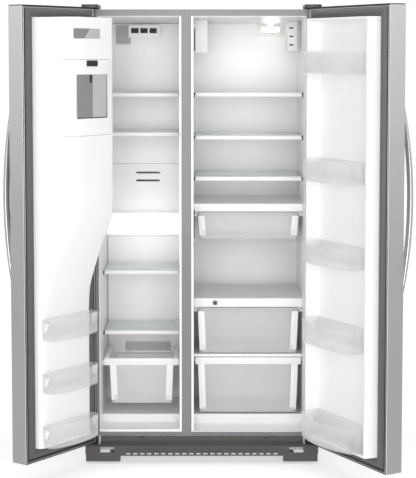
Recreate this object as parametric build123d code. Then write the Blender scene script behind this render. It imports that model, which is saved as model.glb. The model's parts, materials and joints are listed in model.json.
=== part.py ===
from build123d import *
import os

# Side by side refrigerator, in millimetres.
# Working frame: X to the right, Y backwards from the cabinet's front plane, Z up from the floor,
# with X = 0 on the cabinet's centre line. Doors are built closed and then swung open about their pins.

# ---------------------------------------------------------------- driving dimensions
WIDTH = 911.0
HALF = WIDTH / 2
CAB_TOP = 1760.0
CAB_DEPTH = 608.2
SHEET = 1.2
ROW_X = -17.0
ROW_Y = -64.5

FREEZER_SWING = 126.0
FRIDGE_SWING = 119.3
HINGE_INSET = 16.0
HINGE_Y = -40.0
PIN_R = 5.0
RUN_FIT = 0.05

MULLION = (-78.3, -40.3)
FREEZER_X = (-396.0, -86.0)
FRIDGE_X = (-32.0, 398.0)
LINER = 2.0
FREEZER_FLOOR = 129.0
FRIDGE_FLOOR = 122.0
STEP_Y = 120.0
STEP_Z = 160.0
HUMP_Y = 415.0
HUMP_Z = 340.0
FREEZER_BACK = 530.0
FRIDGE_BACK = 505.0
CEILING_FRONT = 1733.0
CEILING_BACK = 1713.0
RAIL_Z = (106.0, 120.0)
FLANGE_TOP = 1735.0

DOOR_Z = (89.0, 1763.0)
DOOR_FACE = -87.0
DOOR_REAR = -13.0
DOOR_CORNER = 10.0
DOOR_SKIN = 1.0
PLATE = 2.0
CAP = 12.0
FREEZER_DOOR_W = 394.7
FRIDGE_DOOR_W = 513.3
SEAL_GAP = 0.6
SEAL_W = 34.0
SEAL_HINGE_U = 20.0
SEAL_FREE_U = 12.0
SEAL_Z = (106.0, 1757.0)
SEAL_ROUND = 6.0

BAY_Y = 472.0
BAY_Z = (42.0, 284.0)
PAN_Z = 68.0
SIDE_FOOT = 30.0

SHELF_GLASS = 4.0
SHELF_FRONT = 120.0
FREEZER_SHELF_FRONT = 190.0
FRIDGE_SHELF_Z = (1104.0, 1266.0, 1435.0)
FREEZER_SHELF_Z = (478.0, 722.0, 1275.0, 1432.0)
FRIDGE_SHELF_BACK = 480.0
FREEZER_SHELF_BACK = 444.0

DRAWER_FRONT = 120.0
DRAWER_WALL = 3.0
DRAWER_LIP = 11.0
LEDGE_GAP = 0.4

FRIDGE_BINS_Z = ((150.0, 240.0), (515.0, 597.0), (817.0, 890.0), (1123.0, 1200.0), (1518.0, 1598.0))
FREEZER_BINS_Z = ((146.0, 227.0), (348.0, 421.0), (544.0, 622.0))
BIN_WALL = 2.5
BIN_ROUND = 18.0

HANDLE_Z = (650.0, 1480.0)
HANDLE_PROUD = 63.0
HANDLE_BAR = 15.0
HANDLE_FOOT = 34.0
HANDLE_W = 24.0
HANDLE_FROM_FREE = 45.0

nodes = {}


# ---------------------------------------------------------------- helpers
def box(x, y, z):
    """Block between the two ends given for each axis."""
    size = (x[1] - x[0], y[1] - y[0], z[1] - z[0])
    middle = ((x[0] + x[1]) / 2, (y[0] + y[1]) / 2, (z[0] + z[1]) / 2)
    return Pos(*middle) * Box(*size)


def soft_box(x, y, z, radius, axis=Axis.Z):
    """Block whose edges along one axis are rounded."""
    block = box(x, y, z)
    return fillet(block.edges().filter_by(axis), radius)


def tray(x, y, z, wall, radius):
    """Open-topped box with rounded upright corners."""
    outer = soft_box(x, y, z, radius)
    inside_x = (x[0] + wall, x[1] - wall)
    inside_y = (y[0] + wall, y[1] - wall)
    inside_z = (z[0] + wall, z[1] + wall)
    return outer - soft_box(inside_x, inside_y, inside_z, radius - wall)


def prism_x(points, x):
    """Outline of (y, z) points carried along X."""
    face = make_face(Plane.YZ * Polyline(*points, close=True))
    return Pos(x[0], 0, 0) * extrude(face, amount=x[1] - x[0], dir=(1, 0, 0))


def prism_z(points, z):
    """Outline of (x, y) points carried along Z."""
    face = make_face(Polyline(*points, close=True))
    return Pos(0, 0, z[0]) * extrude(face, amount=z[1] - z[0], dir=(0, 0, 1))


def rod(axis, centre, radius, length):
    """Cylinder centred on a point, along X, Y or Z."""
    turn = {"x": Rot(0, 90, 0), "y": Rot(90, 0, 0), "z": Rot(0, 0, 0)}[axis]
    return Pos(*centre) * turn * Cylinder(radius, length)


def mirrored(shape):
    """The same shape on the other side of the centre line."""
    return mirror(shape, about=Plane.YZ)


def group(shapes):
    """Separate solids kept in one node."""
    return Compound([solid for shape in shapes for solid in shape.solids()])


def ceiling(y):
    """Height of the compartments' sloping ceiling at a depth."""
    return CEILING_FRONT + (CEILING_BACK - CEILING_FRONT) * y / FREEZER_BACK


# ---------------------------------------------------------------- cabinet shell
def outer_wrapper():
    """Painted steel wrap: two sides, top and the folded front flange."""
    inner = HALF - SHEET
    wrap = box((-HALF, HALF), (0, CAB_DEPTH), (SIDE_FOOT, CAB_TOP))
    wrap -= box((-inner, inner), (-SHEET, CAB_DEPTH + SHEET), (SIDE_FOOT - SHEET, CAB_TOP - SHEET))
    flange = box((-HALF, HALF), (0, SHEET), (RAIL_Z[1], CAB_TOP))
    opening = (FREEZER_X[0] - LINER, FRIDGE_X[1] + LINER)
    flange -= box(opening, (-SHEET, 2 * SHEET), (0, FLANGE_TOP))
    return wrap + flange


def liner_profile(front_floor, back, wall):
    """Side outline of a compartment: front floor, raised floor, step over the machine bay, back."""
    return [
        (-wall, front_floor - wall),
        (STEP_Y + wall, front_floor - wall),
        (STEP_Y + wall, STEP_Z - wall),
        (HUMP_Y + wall, STEP_Z - wall),
        (HUMP_Y + wall, HUMP_Z - wall),
        (back + wall, HUMP_Z - wall),
        (back + wall, ceiling(back) + wall),
        (-wall, CEILING_FRONT + wall),
    ]


def liner_block(x, front_floor, back, wall):
    """Solid of the compartment's space, grown by the wall thickness."""
    block = prism_x(liner_profile(front_floor, back, wall), (x[0] - wall, x[1] + wall))
    return block & box((-HALF, HALF), (0, CAB_DEPTH), (0, CAB_TOP))


def liner(x, front_floor, back):
    """Thin moulded lining of one compartment, open at the front."""
    return liner_block(x, front_floor, back, LINER) - prism_x(liner_profile(front_floor, back, 0.0), x)


def front_lip(x, top):
    """Strip of lining turned over the foam's front edge, from the bottom rail up."""
    return box(x, (0, LINER), (RAIL_Z[1], top))


DRAWER_RIB_Y = (130.0, 408.0)
FREEZER_RIB_Z = (357.0, 375.4)
FREEZER_DRAWER_X = (-368.0, -112.0)
FREEZER_DRAWER_Y = (DRAWER_FRONT, 402.0)
FREEZER_DRAWER_Z = (202.0, 386.0)
FREEZER_LIP = 18.0
LIP_H = 10.0


def freezer_liner():
    """Freezer lining with the two moulded ribs that carry its drawer."""
    left_rib = box((FREEZER_X[0], FREEZER_DRAWER_X[0] - LINER), DRAWER_RIB_Y, FREEZER_RIB_Z)
    right_rib = box((FREEZER_DRAWER_X[1] + LINER, FREEZER_X[1]), DRAWER_RIB_Y, FREEZER_RIB_Z)
    lining = liner(FREEZER_X, FREEZER_FLOOR, FREEZER_BACK) + left_rib + right_rib
    lining += front_lip((FREEZER_X[1], MULLION[0]), FLANGE_TOP)
    return lining + front_lip((FREEZER_X[0] - LINER, FREEZER_X[1]), FREEZER_FLOOR)


def fridge_liner():
    """Refrigerator lining with its front lips."""
    lining = liner(FRIDGE_X, FRIDGE_FLOOR, FRIDGE_BACK) + front_lip((MULLION[1], FRIDGE_X[0]), FLANGE_TOP)
    return lining + front_lip((FRIDGE_X[0], FRIDGE_X[1] + LINER), FRIDGE_FLOOR)


MULLION_DEPTH = 22.0
RAIL_DEPTH = 30.0


def centre_mullion():
    """Steel channel between the two compartments."""
    outer = box(MULLION, (0, MULLION_DEPTH), (RAIL_Z[1], FLANGE_TOP))
    inside = (MULLION[0] + SHEET, MULLION[1] - SHEET)
    return outer - box(inside, (SHEET, MULLION_DEPTH + SHEET), (0, CAB_TOP))


def front_bottom_rail():
    """Steel strip across the cabinet under both openings."""
    inner = HALF - SHEET
    outer = box((-inner, inner), (0, RAIL_DEPTH), RAIL_Z)
    inside = box((-inner, inner), (SHEET, RAIL_DEPTH + SHEET), (0, RAIL_Z[1] - SHEET))
    return outer - inside


BAY_SHEET = 1.5
BASE_FRONT = 2.0
RAIL_LEG = 20.0


def base_pan():
    """Pressed base: front wall, floor plate, machine bay and the roller forks."""
    inner = HALF - SHEET
    full = (-inner, inner)
    front = box(full, (0, BASE_FRONT), (PAN_Z - RAIL_LEG, RAIL_Z[0]))
    plate = box(full, (0, BAY_Y - BAY_SHEET), (PAN_Z - BAY_SHEET, PAN_Z))
    back_wall = box(full, (BAY_Y - BAY_SHEET, BAY_Y), (BAY_Z[0] - BAY_SHEET, BAY_Z[1] + BAY_SHEET))
    bay_top = box(full, (BAY_Y - BAY_SHEET, CAB_DEPTH - SHEET), (BAY_Z[1], BAY_Z[1] + BAY_SHEET))
    bay_floor = box(full, (BAY_Y - BAY_SHEET, CAB_DEPTH - SHEET), (BAY_Z[0] - BAY_SHEET, BAY_Z[0]))
    pan = front + plate + back_wall + bay_top + bay_floor
    for spec in (FRONT_ROLLER, REAR_ROLLER):
        for side in (-1, 1):
            pan += roller_fork(spec, side)
    for spec in FEET:
        pan += foot_socket(spec)
    return pan


# ---------------------------------------------------------------- rollers and feet
ROLLER_X = 350.0
ROLLER_W = 18.0
AXLE_R = 4.0
FORK_GAP = 1.0
FORK_T = 3.0
FORK_HALF = 11.0
FRONT_ROLLER = {"y": 70.0, "r": 22.0, "z": 24.0, "top": PAN_Z - BAY_SHEET}
REAR_ROLLER = {"y": 550.0, "r": 17.0, "z": 19.0, "top": BAY_Z[0] - BAY_SHEET}
FOOT_X = 405.0
FOOT_R = 17.0
FOOT_H = 8.0
STEM_R = 5.0
SOCKET_R = 9.0
SOCKET_H = 22.0
FEET = (
    {"x": -FOOT_X, "y": 45.0, "top": PAN_Z - BAY_SHEET},
    {"x": FOOT_X, "y": 45.0, "top": PAN_Z - BAY_SHEET},
    {"x": -FOOT_X, "y": 570.0, "top": BAY_Z[0] - BAY_SHEET},
    {"x": FOOT_X, "y": 570.0, "top": BAY_Z[0] - BAY_SHEET},
)


def roller_fork(spec, side):
    """Two ears and the axle of one roller."""
    centre = side * ROLLER_X
    reach = ROLLER_W / 2 + FORK_GAP
    fork = rod("x", (centre, spec["y"], spec["z"]), AXLE_R, 2 * (reach + FORK_T))
    for ear in (-1, 1):
        near = centre + ear * reach
        far = near + ear * FORK_T
        span = (min(near, far), max(near, far))
        depth = (spec["y"] - FORK_HALF, spec["y"] + FORK_HALF)
        fork += box(span, depth, (spec["z"] - AXLE_R - FORK_GAP, spec["top"]))
    return fork


def rollers(spec):
    """Both plain rollers on one line across the base."""
    wheels = []
    for side in (-1, 1):
        centre = (side * ROLLER_X, spec["y"], spec["z"])
        wheel = rod("x", centre, spec["r"], ROLLER_W)
        wheel -= rod("x", centre, AXLE_R + RUN_FIT, 2 * ROLLER_W)
        wheels.append(wheel)
    return group(wheels)


def foot_socket(spec):
    """Threaded boss that a levelling foot screws into."""
    middle = spec["top"] - SOCKET_H / 2
    boss = rod("z", (spec["x"], spec["y"], middle), SOCKET_R, SOCKET_H)
    return boss - rod("z", (spec["x"], spec["y"], middle), STEM_R, 2 * SOCKET_H)


def levelling_feet():
    """Four screw feet that stand on the floor."""
    feet = []
    for spec in FEET:
        pad = rod("z", (spec["x"], spec["y"], FOOT_H / 2), FOOT_R, FOOT_H)
        length = spec["top"] - FOOT_H
        stem = rod("z", (spec["x"], spec["y"], FOOT_H + length / 2), STEM_R, length)
        feet.append(pad + stem)
    return group(feet)


# ---------------------------------------------------------------- back and machine bay
LOUVRE_ROWS = 6
LOUVRE_PITCH = 22.0
LOUVRE_H = 5.0
LOUVRE_Z = 90.0
LOUVRE_SPANS = ((-400.0, -250.0), (-120.0, 30.0), (100.0, 300.0))
GLAND = (-180.0, 238.0)
GLAND_R = 11.0
VALVE_X = 380.0
VALVE_Z = 200.0
INLET_R = 6.35
INLET_LEN = 14.0


def rear_panel():
    """Flat steel back, above the machine bay."""
    inner = HALF - SHEET
    return box((-inner, inner), (CAB_DEPTH - SHEET, CAB_DEPTH), (BAY_Z[1] + BAY_SHEET, CAB_TOP - SHEET))


def rear_machine_cover():
    """Louvred cover over the machine bay, with the holes for the lead and the water inlet."""
    inner = HALF - SHEET
    height = (BAY_Z[0] - BAY_SHEET, BAY_Z[1] + BAY_SHEET)
    cover = box((-inner, inner), (CAB_DEPTH - SHEET, CAB_DEPTH), height)
    through = (CAB_DEPTH - 2 * SHEET, CAB_DEPTH + SHEET)
    for row in range(LOUVRE_ROWS):
        low = LOUVRE_Z + row * LOUVRE_PITCH
        for span in LOUVRE_SPANS:
            cover -= box(span, through, (low, low + LOUVRE_H))
    cover -= rod("y", (GLAND[0], CAB_DEPTH, GLAND[1]), GLAND_R, 4 * INLET_LEN)
    return cover - rod("y", (VALVE_X, CAB_DEPTH, VALVE_Z), INLET_R + 4 * FORK_GAP, 4 * INLET_LEN)


GLAND_FLANGE = 3.0
GLAND_IN = 8.0
LEAD_R = 4.5


def power_inlet():
    """Strain-relief gland for the mains lead."""
    middle = (GLAND[0], CAB_DEPTH, GLAND[1])
    inside = (GLAND[0], CAB_DEPTH - SHEET - GLAND_IN / 2, GLAND[1])
    body = rod("y", inside, GLAND_R, GLAND_IN + 2 * SHEET) & box((-HALF, HALF), (0, CAB_DEPTH), (0, CAB_TOP))
    outside = (GLAND[0], CAB_DEPTH + GLAND_FLANGE / 2, GLAND[1])
    flange = rod("y", outside, GLAND_R + GLAND_FLANGE, GLAND_FLANGE)
    return body + flange - rod("y", middle, LEAD_R, 8 * GLAND_IN)


VALVE_BODY = 34.0
VALVE_Y = (545.0, 595.0)
VALVE_COIL_R = 14.0
VALVE_COIL_H = 30.0
VALVE_BRACKET_HALF = 10.0
VALVE_BRACKET_Y = (560.0, 564.0)


def water_valve():
    """Twin solenoid valve with its inlet stub standing out of the back."""
    half = VALVE_BODY / 2
    valve = box((VALVE_X - VALVE_BODY, VALVE_X + VALVE_BODY), VALVE_Y, (VALVE_Z - half, VALVE_Z + half))
    valve += rod("y", (VALVE_X, VALVE_Y[1] + INLET_LEN, VALVE_Z), INLET_R, 2 * INLET_LEN)
    for x in (VALVE_X - half, VALVE_X + half):
        middle = (x, (VALVE_Y[0] + VALVE_Y[1]) / 2, VALVE_Z + half + VALVE_COIL_H / 2)
        valve += rod("z", middle, VALVE_COIL_R, VALVE_COIL_H)
    bracket_x = (VALVE_X - VALVE_BRACKET_HALF, VALVE_X + VALVE_BRACKET_HALF)
    return valve + box(bracket_x, VALVE_BRACKET_Y, (BAY_Z[0], VALVE_Z))


COMPRESSOR = {"x": -290.0, "y": 540.0, "r": 58.0, "low": 62.0, "high": 190.0}
CAN_ROUND = 24.0
CAN_PLATE = {"x": 85.0, "y": 50.0, "under": 4.0, "over": 3.0}
GROMMET = {"x": 70.0, "y": 38.0, "r": 9.0}
TERMINAL = {"x": (40.0, 82.0), "y": 25.0, "z": (100.0, 160.0)}


def compressor():
    """Sealed compressor can on its foot plate, with the terminal box on its side."""
    spec = COMPRESSOR
    height = spec["high"] - spec["low"]
    can = rod("z", (spec["x"], spec["y"], spec["low"] + height / 2), spec["r"], height)
    can = fillet(can.edges().filter_by(GeomType.CIRCLE), CAN_ROUND)
    plate_x = (spec["x"] - CAN_PLATE["x"], spec["x"] + CAN_PLATE["x"])
    plate_y = (spec["y"] - CAN_PLATE["y"], spec["y"] + CAN_PLATE["y"])
    underside = spec["low"] - CAN_PLATE["under"]
    can += box(plate_x, plate_y, (underside, spec["low"] + CAN_PLATE["over"]))
    for x in (spec["x"] - GROMMET["x"], spec["x"] + GROMMET["x"]):
        for y in (spec["y"] - GROMMET["y"], spec["y"] + GROMMET["y"]):
            can += rod("z", (x, y, (BAY_Z[0] + underside) / 2), GROMMET["r"], underside - BAY_Z[0])
    terminal_x = (spec["x"] + TERMINAL["x"][0], spec["x"] + TERMINAL["x"][1])
    terminal_y = (spec["y"] - TERMINAL["y"], spec["y"] + TERMINAL["y"])
    return can + box(terminal_x, terminal_y, TERMINAL["z"])


CONDENSER_X = (90.0, 310.0)
CONDENSER_Y = (495.0, 585.0)
CONDENSER_Z = (75.0, 215.0)
TUBE_R = 3.0
TUBE_ROWS = 5
TUBE_COLUMNS = 4
TUBE_INSET = 8.0
COIL_PLATES = 9
COIL_LEG = 6.0
COIL_LEG_Y = (535.0, 545.0)


def tube_bank(x, y, z, rows, columns, radius):
    """Straight tubes along X on an even grid."""
    bank = []
    for row in range(rows):
        height = z[0] + (z[1] - z[0]) * row / (rows - 1)
        for column in range(columns):
            depth = y[0] + (y[1] - y[0]) * column / (columns - 1)
            bank.append(rod("x", ((x[0] + x[1]) / 2, depth, height), radius, x[1] - x[0]))
    return bank


def condenser_coil():
    """Condenser: a bank of tubes held by end plates and cooling wires."""
    bank = tube_bank(
        CONDENSER_X,
        (CONDENSER_Y[0] + TUBE_INSET, CONDENSER_Y[1] - TUBE_INSET),
        (CONDENSER_Z[0] + TUBE_INSET, CONDENSER_Z[1] - TUBE_INSET),
        TUBE_ROWS,
        TUBE_COLUMNS,
        TUBE_R,
    )
    coil = bank[0]
    for tube in bank[1:]:
        coil += tube
    for k in range(COIL_PLATES):
        x = CONDENSER_X[0] + (CONDENSER_X[1] - CONDENSER_X[0] - BAY_SHEET) * k / (COIL_PLATES - 1)
        coil += box((x, x + BAY_SHEET), CONDENSER_Y, CONDENSER_Z)
    legs_z = (PAN_TRAY_Z[1], CONDENSER_Z[0])
    for x in CONDENSER_X:
        side = 1 if x == CONDENSER_X[0] else -1
        span = sorted((x, x + side * COIL_LEG))
        coil += box(span, COIL_LEG_Y, legs_z)
    return coil


PAN_TRAY_Z = (BAY_Z[0], 62.0)


def drain_pan():
    """Evaporation pan for defrost water, under the condenser."""
    return tray((85.0, 315.0), (485.0, 595.0), PAN_TRAY_Z, 2.0, 12.0)


CFAN = {"x": 20.0, "y": 540.0, "z": 150.0, "r": 62.0}
EFAN = {"x": -240.0, "y": 480.0, "z": 770.0, "r": 52.0}
HUB_R = 16.0
HUB_L = 20.0
SHAFT_R = 2.5
BLADES = 5
BLADE_T = 1.6
BLADE_TILT = 32.0
MOTOR_R = 24.0
MOTOR_L = 34.0
SHORT_MOTOR_L = 26.0
STAND_HALF = 12.0
BRACKET_HALF = 8.0
ARM_HALF = 60.0


def fan_blade(spec, along):
    """Bladed rotor, turning on a shaft along X or Y."""
    hub = Cylinder(HUB_R, HUB_L) - Cylinder(SHAFT_R + RUN_FIT, 2 * HUB_L)
    reach = spec["r"] - HUB_R + 2.0
    for k in range(BLADES):
        blade = Rot(BLADE_TILT, 0, 0) * Box(reach, HUB_R * 1.6, BLADE_T)
        blade = Pos(HUB_R - 1.0 + reach / 2, 0, 0) * blade
        hub += Rot(0, 0, 360.0 * k / BLADES) * (blade - Cylinder(HUB_R - 2.0, 3 * HUB_L))
    turn = Rot(0, 90, 0) if along == "x" else Rot(90, 0, 0)
    return Pos(spec["x"], spec["y"], spec["z"]) * turn * hub


def fan_motors():
    """The two fan motors with their shafts and brackets."""
    gap = HUB_L / 2 + 2.0
    x = CFAN["x"] + gap + MOTOR_L / 2
    base = rod("x", (x, CFAN["y"], CFAN["z"]), MOTOR_R, MOTOR_L)
    base += rod("x", (CFAN["x"] + gap / 2, CFAN["y"], CFAN["z"]), SHAFT_R, HUB_L + gap)
    stand_y = (CFAN["y"] - STAND_HALF, CFAN["y"] + STAND_HALF)
    base += box((x - BRACKET_HALF, x + BRACKET_HALF), stand_y, (BAY_Z[0], CFAN["z"]))
    y = EFAN["y"] + gap + SHORT_MOTOR_L / 2
    inside = rod("y", (EFAN["x"], y, EFAN["z"]), MOTOR_R, SHORT_MOTOR_L)
    inside += rod("y", (EFAN["x"], EFAN["y"] + gap / 2, EFAN["z"]), SHAFT_R, HUB_L + gap)
    arm_x = (EFAN["x"] - ARM_HALF, EFAN["x"] + ARM_HALF)
    arm_z = (EFAN["z"] - BRACKET_HALF, EFAN["z"] + BRACKET_HALF)
    inside += box(arm_x, (y - SHAFT_R, FREEZER_BACK), arm_z)
    return group([base, inside])


# ---------------------------------------------------------------- inside the freezer
COVER_Y = (446.0, 450.0)
COVER_X = (FREEZER_X[0] + 1.0, FREEZER_X[1] - 1.0)
COVER_SEAM = 1136.0
COVER_SLOTS = (1066.0, 1099.0)
COVER_SLOT_X = (-274.0, -177.0)
COVER_SLOT_H = 8.0
RETURN_X = (-319.0, -129.0)
RETURN_Z = (350.0, 388.0)
RETURN_SLOTS = 19
VENT_X = (-303.0, -174.0)
VENT_Y = (424.0, 446.0)
VENT_Z = (1658.0, 1709.0)
VENT_SLOTS = 3
VENT_SIDE = 10.0
VENT_BAR = 6.0
VENT_THROAT = 14.0
VENT_SLOT_Z = (1676.0, 1697.0)


def evaporator_cover():
    """Lower back panel of the freezer, with air slots and the return grille."""
    cover = box(COVER_X, COVER_Y, (HUMP_Z + 1.0, COVER_SEAM - 1.0))
    through = (COVER_Y[0] - 1.0, COVER_Y[1] + 1.0)
    for middle in COVER_SLOTS:
        cover -= box(COVER_SLOT_X, through, (middle - COVER_SLOT_H / 2, middle + COVER_SLOT_H / 2))
    pitch = (RETURN_X[1] - RETURN_X[0]) / RETURN_SLOTS
    for k in range(RETURN_SLOTS):
        low = RETURN_X[0] + k * pitch
        cover -= box((low, low + pitch / 2), through, RETURN_Z)
    return cover


def freezer_duct_cover():
    """Upper back panel of the freezer with the slotted air tower at its top."""
    cover = box(COVER_X, COVER_Y, (COVER_SEAM + 1.0, ceiling(COVER_Y[1]) - 1.0))
    tower = soft_box(VENT_X, VENT_Y, VENT_Z, 5.0, Axis.Y)
    throat = (VENT_Y[0] - 1.0, VENT_Y[0] + VENT_THROAT)
    slot = (VENT_X[1] - VENT_X[0] - 2 * VENT_SIDE + VENT_BAR) / VENT_SLOTS
    for k in range(VENT_SLOTS):
        low = VENT_X[0] + VENT_SIDE + k * slot
        tower -= box((low, low + slot - VENT_BAR), throat, VENT_SLOT_Z)
    return cover + tower


EVAP_X = (-380.0, -102.0)
EVAP_Y = (462.0, 522.0)
EVAP_Z = (420.0, 640.0)
FINS = 21
FIN = 1.0
EVAP_INSET = 14.0
EVAP_ROWS = 6
EVAP_COLUMNS = 2
EVAP_TUBE_R = 4.0
EVAP_HANGER = 12.0


def evaporator_coil():
    """Finned evaporator behind the freezer's back panel."""
    bank = tube_bank(
        EVAP_X,
        (EVAP_Y[0] + EVAP_INSET, EVAP_Y[1] - EVAP_INSET),
        (EVAP_Z[0] + EVAP_INSET, EVAP_Z[1] - EVAP_INSET),
        EVAP_ROWS,
        EVAP_COLUMNS,
        EVAP_TUBE_R,
    )
    coil = bank[0]
    for tube in bank[1:]:
        coil += tube
    for k in range(FINS):
        x = EVAP_X[0] + (EVAP_X[1] - EVAP_X[0] - FIN) * k / (FINS - 1)
        coil += box((x, x + FIN), EVAP_Y, EVAP_Z)
    return coil + box(EVAP_X, (EVAP_Y[1], FREEZER_BACK), (EVAP_Z[1] - EVAP_HANGER, EVAP_Z[1]))


SHIELD_Y = (402.0, 445.6)
SHIELD_Z = (840.0, 934.0)
SHIELD_WALL = 2.0
LAMP_X = (225.0, 337.0)
LAMP_Y = (350.0, 440.0)
LAMP_LOW = 1662.0
SHIELD_ROUND = 10.0
CEILING_GAP = 0.5


def lamp_covers():
    """Clear shields over the freezer's and the refrigerator's lamps."""
    wall = SHIELD_WALL
    shield_x = (FREEZER_X[0] + wall, FREEZER_X[1] - wall)
    low = soft_box(shield_x, (SHIELD_Y[0], FREEZER_BACK), SHIELD_Z, SHIELD_ROUND, Axis.X)
    low &= box(shield_x, SHIELD_Y, SHIELD_Z)
    inner_x = (shield_x[0] + wall, shield_x[1] - wall)
    low -= box(inner_x, (SHIELD_Y[0] + wall, FREEZER_BACK), (SHIELD_Z[0] + wall, SHIELD_Z[1] - wall))
    inner_x = (LAMP_X[0] + wall, LAMP_X[1] - wall)
    inner_y = (LAMP_Y[0] + wall, LAMP_Y[1] - wall)
    top = hung_box(LAMP_X, LAMP_Y, LAMP_LOW) - box(inner_x, inner_y, (LAMP_LOW + wall, CAB_TOP))
    return group([low, top])


def hung_box(x, y, low):
    """Block that hangs from the sloping ceiling."""
    outline = [
        (y[0], low),
        (y[1], low),
        (y[1], ceiling(y[1]) - CEILING_GAP),
        (y[0], ceiling(y[0]) - CEILING_GAP),
    ]
    return prism_x(outline, x)


LAMP_R = 9.0
LOW_LAMP = {"x": -240.0, "y": 428.0, "z": 887.0, "long": 120.0, "half": 15.0, "high": 12.0, "from_y": 430.0}
TOP_LAMP = {"x": 281.0, "y": 395.0, "z": 1690.0, "long": 70.0, "half": 10.0, "deep": 8.0}


def lamps():
    """Tubular lamps behind the two shields, in their holders."""
    spec = LOW_LAMP
    low = rod("x", (spec["x"], spec["y"], spec["z"]), LAMP_R, spec["long"])
    holder_x = (spec["x"] - spec["half"], spec["x"] + spec["half"])
    low += box(holder_x, (spec["from_y"], SHIELD_Y[1]), (spec["z"] - spec["high"], spec["z"] + spec["high"]))
    spec = TOP_LAMP
    top = rod("x", (spec["x"], spec["y"], spec["z"]), LAMP_R, spec["long"])
    holder_x = (spec["x"] - spec["half"], spec["x"] + spec["half"])
    holder_y = (spec["y"] - spec["deep"], spec["y"] + spec["deep"])
    top += box(holder_x, holder_y, (spec["z"], ceiling(holder_y[1]) - CEILING_GAP))
    return group([low, top])


# ---------------------------------------------------------------- inside the refrigerator
CONTROL_X = (FRIDGE_X[0] + 0.5, 22.0)
CONTROL_Y = (200.0, 330.0)
CONTROL_LOW = 1595.0
FILTER_X = (342.0, 387.0)
FILTER_Y = (300.0, 380.0)
FILTER_LOW = 1604.0
FILTER_BRACKET_Y = (320.0, 360.0)
FILTER_BRACKET_Z = (1640.0, 1690.0)


def control_housing():
    """Air control housing in the top left corner."""
    return hung_box(CONTROL_X, CONTROL_Y, CONTROL_LOW)


def filter_housing():
    """Upright housing in the top right corner, bracketed to the side wall."""
    body = hung_box(FILTER_X, FILTER_Y, FILTER_LOW)
    return body + box((FILTER_X[1], FRIDGE_X[1]), FILTER_BRACKET_Y, FILTER_BRACKET_Z)


TRIM_DEPTH = 12.0
TRIM_UNDER = 12.0
TRIM_OVER = 5.0
TRIM_ROUND = 4.0
CARRIER = 10.0
CARRIER_UNDER = 16.0


def shelf_frame(x, front, back, top):
    """Front trim and the two side carriers of one glass shelf."""
    trim_z = (top - TRIM_UNDER, top + TRIM_OVER)
    frame = soft_box(x, (front, front + TRIM_DEPTH), trim_z, TRIM_ROUND, Axis.X)
    carrier_z = (top - CARRIER_UNDER, top - SHELF_GLASS / 2)
    for side in ((x[0], x[0] + CARRIER), (x[1] - CARRIER, x[1])):
        frame += box(side, (front + TRIM_DEPTH / 2, back), carrier_z)
    return frame


FRIDGE_SHELF_X = (FRIDGE_X[0] + 1.0, FRIDGE_X[1] - 1.0)
FREEZER_SHELF_X = (FREEZER_X[0] + 1.0, FREEZER_X[1] - 1.0)


def shelf_frames():
    """Every shelf's frame, in both compartments."""
    frames = []
    for z in FRIDGE_SHELF_Z:
        frames.append(shelf_frame(FRIDGE_SHELF_X, SHELF_FRONT, FRIDGE_SHELF_BACK, z))
    for z in FREEZER_SHELF_Z:
        frames.append(shelf_frame(FREEZER_SHELF_X, FREEZER_SHELF_FRONT, FREEZER_SHELF_BACK, z))
    return group(frames)


def shelf_glass():
    """Every shelf's glass plate."""
    plates = []
    half = SHELF_GLASS / 2
    for z in FRIDGE_SHELF_Z:
        x = (FRIDGE_SHELF_X[0] + half, FRIDGE_SHELF_X[1] - half)
        plates.append(box(x, (SHELF_FRONT + TRIM_DEPTH, FRIDGE_SHELF_BACK), (z - half, z + half)))
    for z in FREEZER_SHELF_Z:
        x = (FREEZER_SHELF_X[0] + half, FREEZER_SHELF_X[1] - half)
        plates.append(box(x, (FREEZER_SHELF_FRONT + TRIM_DEPTH, FREEZER_SHELF_BACK), (z - half, z + half)))
    return group(plates)


DRAWER_SIDE = 15.0
DRAWER_ROUND = 14.0
RAIL_RUN_OUT = 10.0
RAIL_LEDGE = 6.0
SLIDE_GAP = 0.5
FRIDGE_DRAWER_X = (FRIDGE_X[0] + DRAWER_SIDE, FRIDGE_X[1] - DRAWER_SIDE)
DELI = {"z": (860.0, 968.0), "back": 420.0, "fascia": (971.0, 1002.0)}
UPPER_CRISPER = {"z": (404.0, 588.0), "back": 450.0, "fascia": (591.0, 626.0)}
LOWER_CRISPER = {"z": (165.0, 390.0), "back": 402.0, "fascia": (392.0, 402.5)}
COVER_BACK = 470.0
COVER_PLATE = 6.0
WEB = 2.0


def drawer(x, y, z, lip):
    """Storage drawer: tapered-looking tray with a carrying lip along each side."""
    body = tray(x, y, z, DRAWER_WALL, DRAWER_ROUND)
    lip_y = (y[0] + DRAWER_ROUND, y[1] - DRAWER_ROUND)
    for side in ((x[0] - lip, x[0] + DRAWER_WALL), (x[1] - DRAWER_WALL, x[1] + lip)):
        body += box(side, lip_y, (z[1] - LIP_H, z[1]))
    return body


BAR_Y = (112.0, DRAWER_FRONT)
BAR_ROUND = 2.0
FRIDGE_BAR_X = (FRIDGE_X[0] + 6.0, FRIDGE_X[1] - 6.0)
FRIDGE_BAR_Z = (362.0, 390.0)
FREEZER_BAR_X = (FREEZER_X[0] + 8.0, FREEZER_X[1] - 6.0)
FREEZER_BAR_Z = (358.0, 386.0)
DRAWER_DIP_Y = (388.0, 403.0)
DRAWER_DIP_Z = (344.0, 387.0)


def front_bar(x, z):
    """Grip bar across a drawer's front, as wide as the compartment."""
    return soft_box(x, BAR_Y, z, BAR_ROUND, Axis.X)


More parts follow.
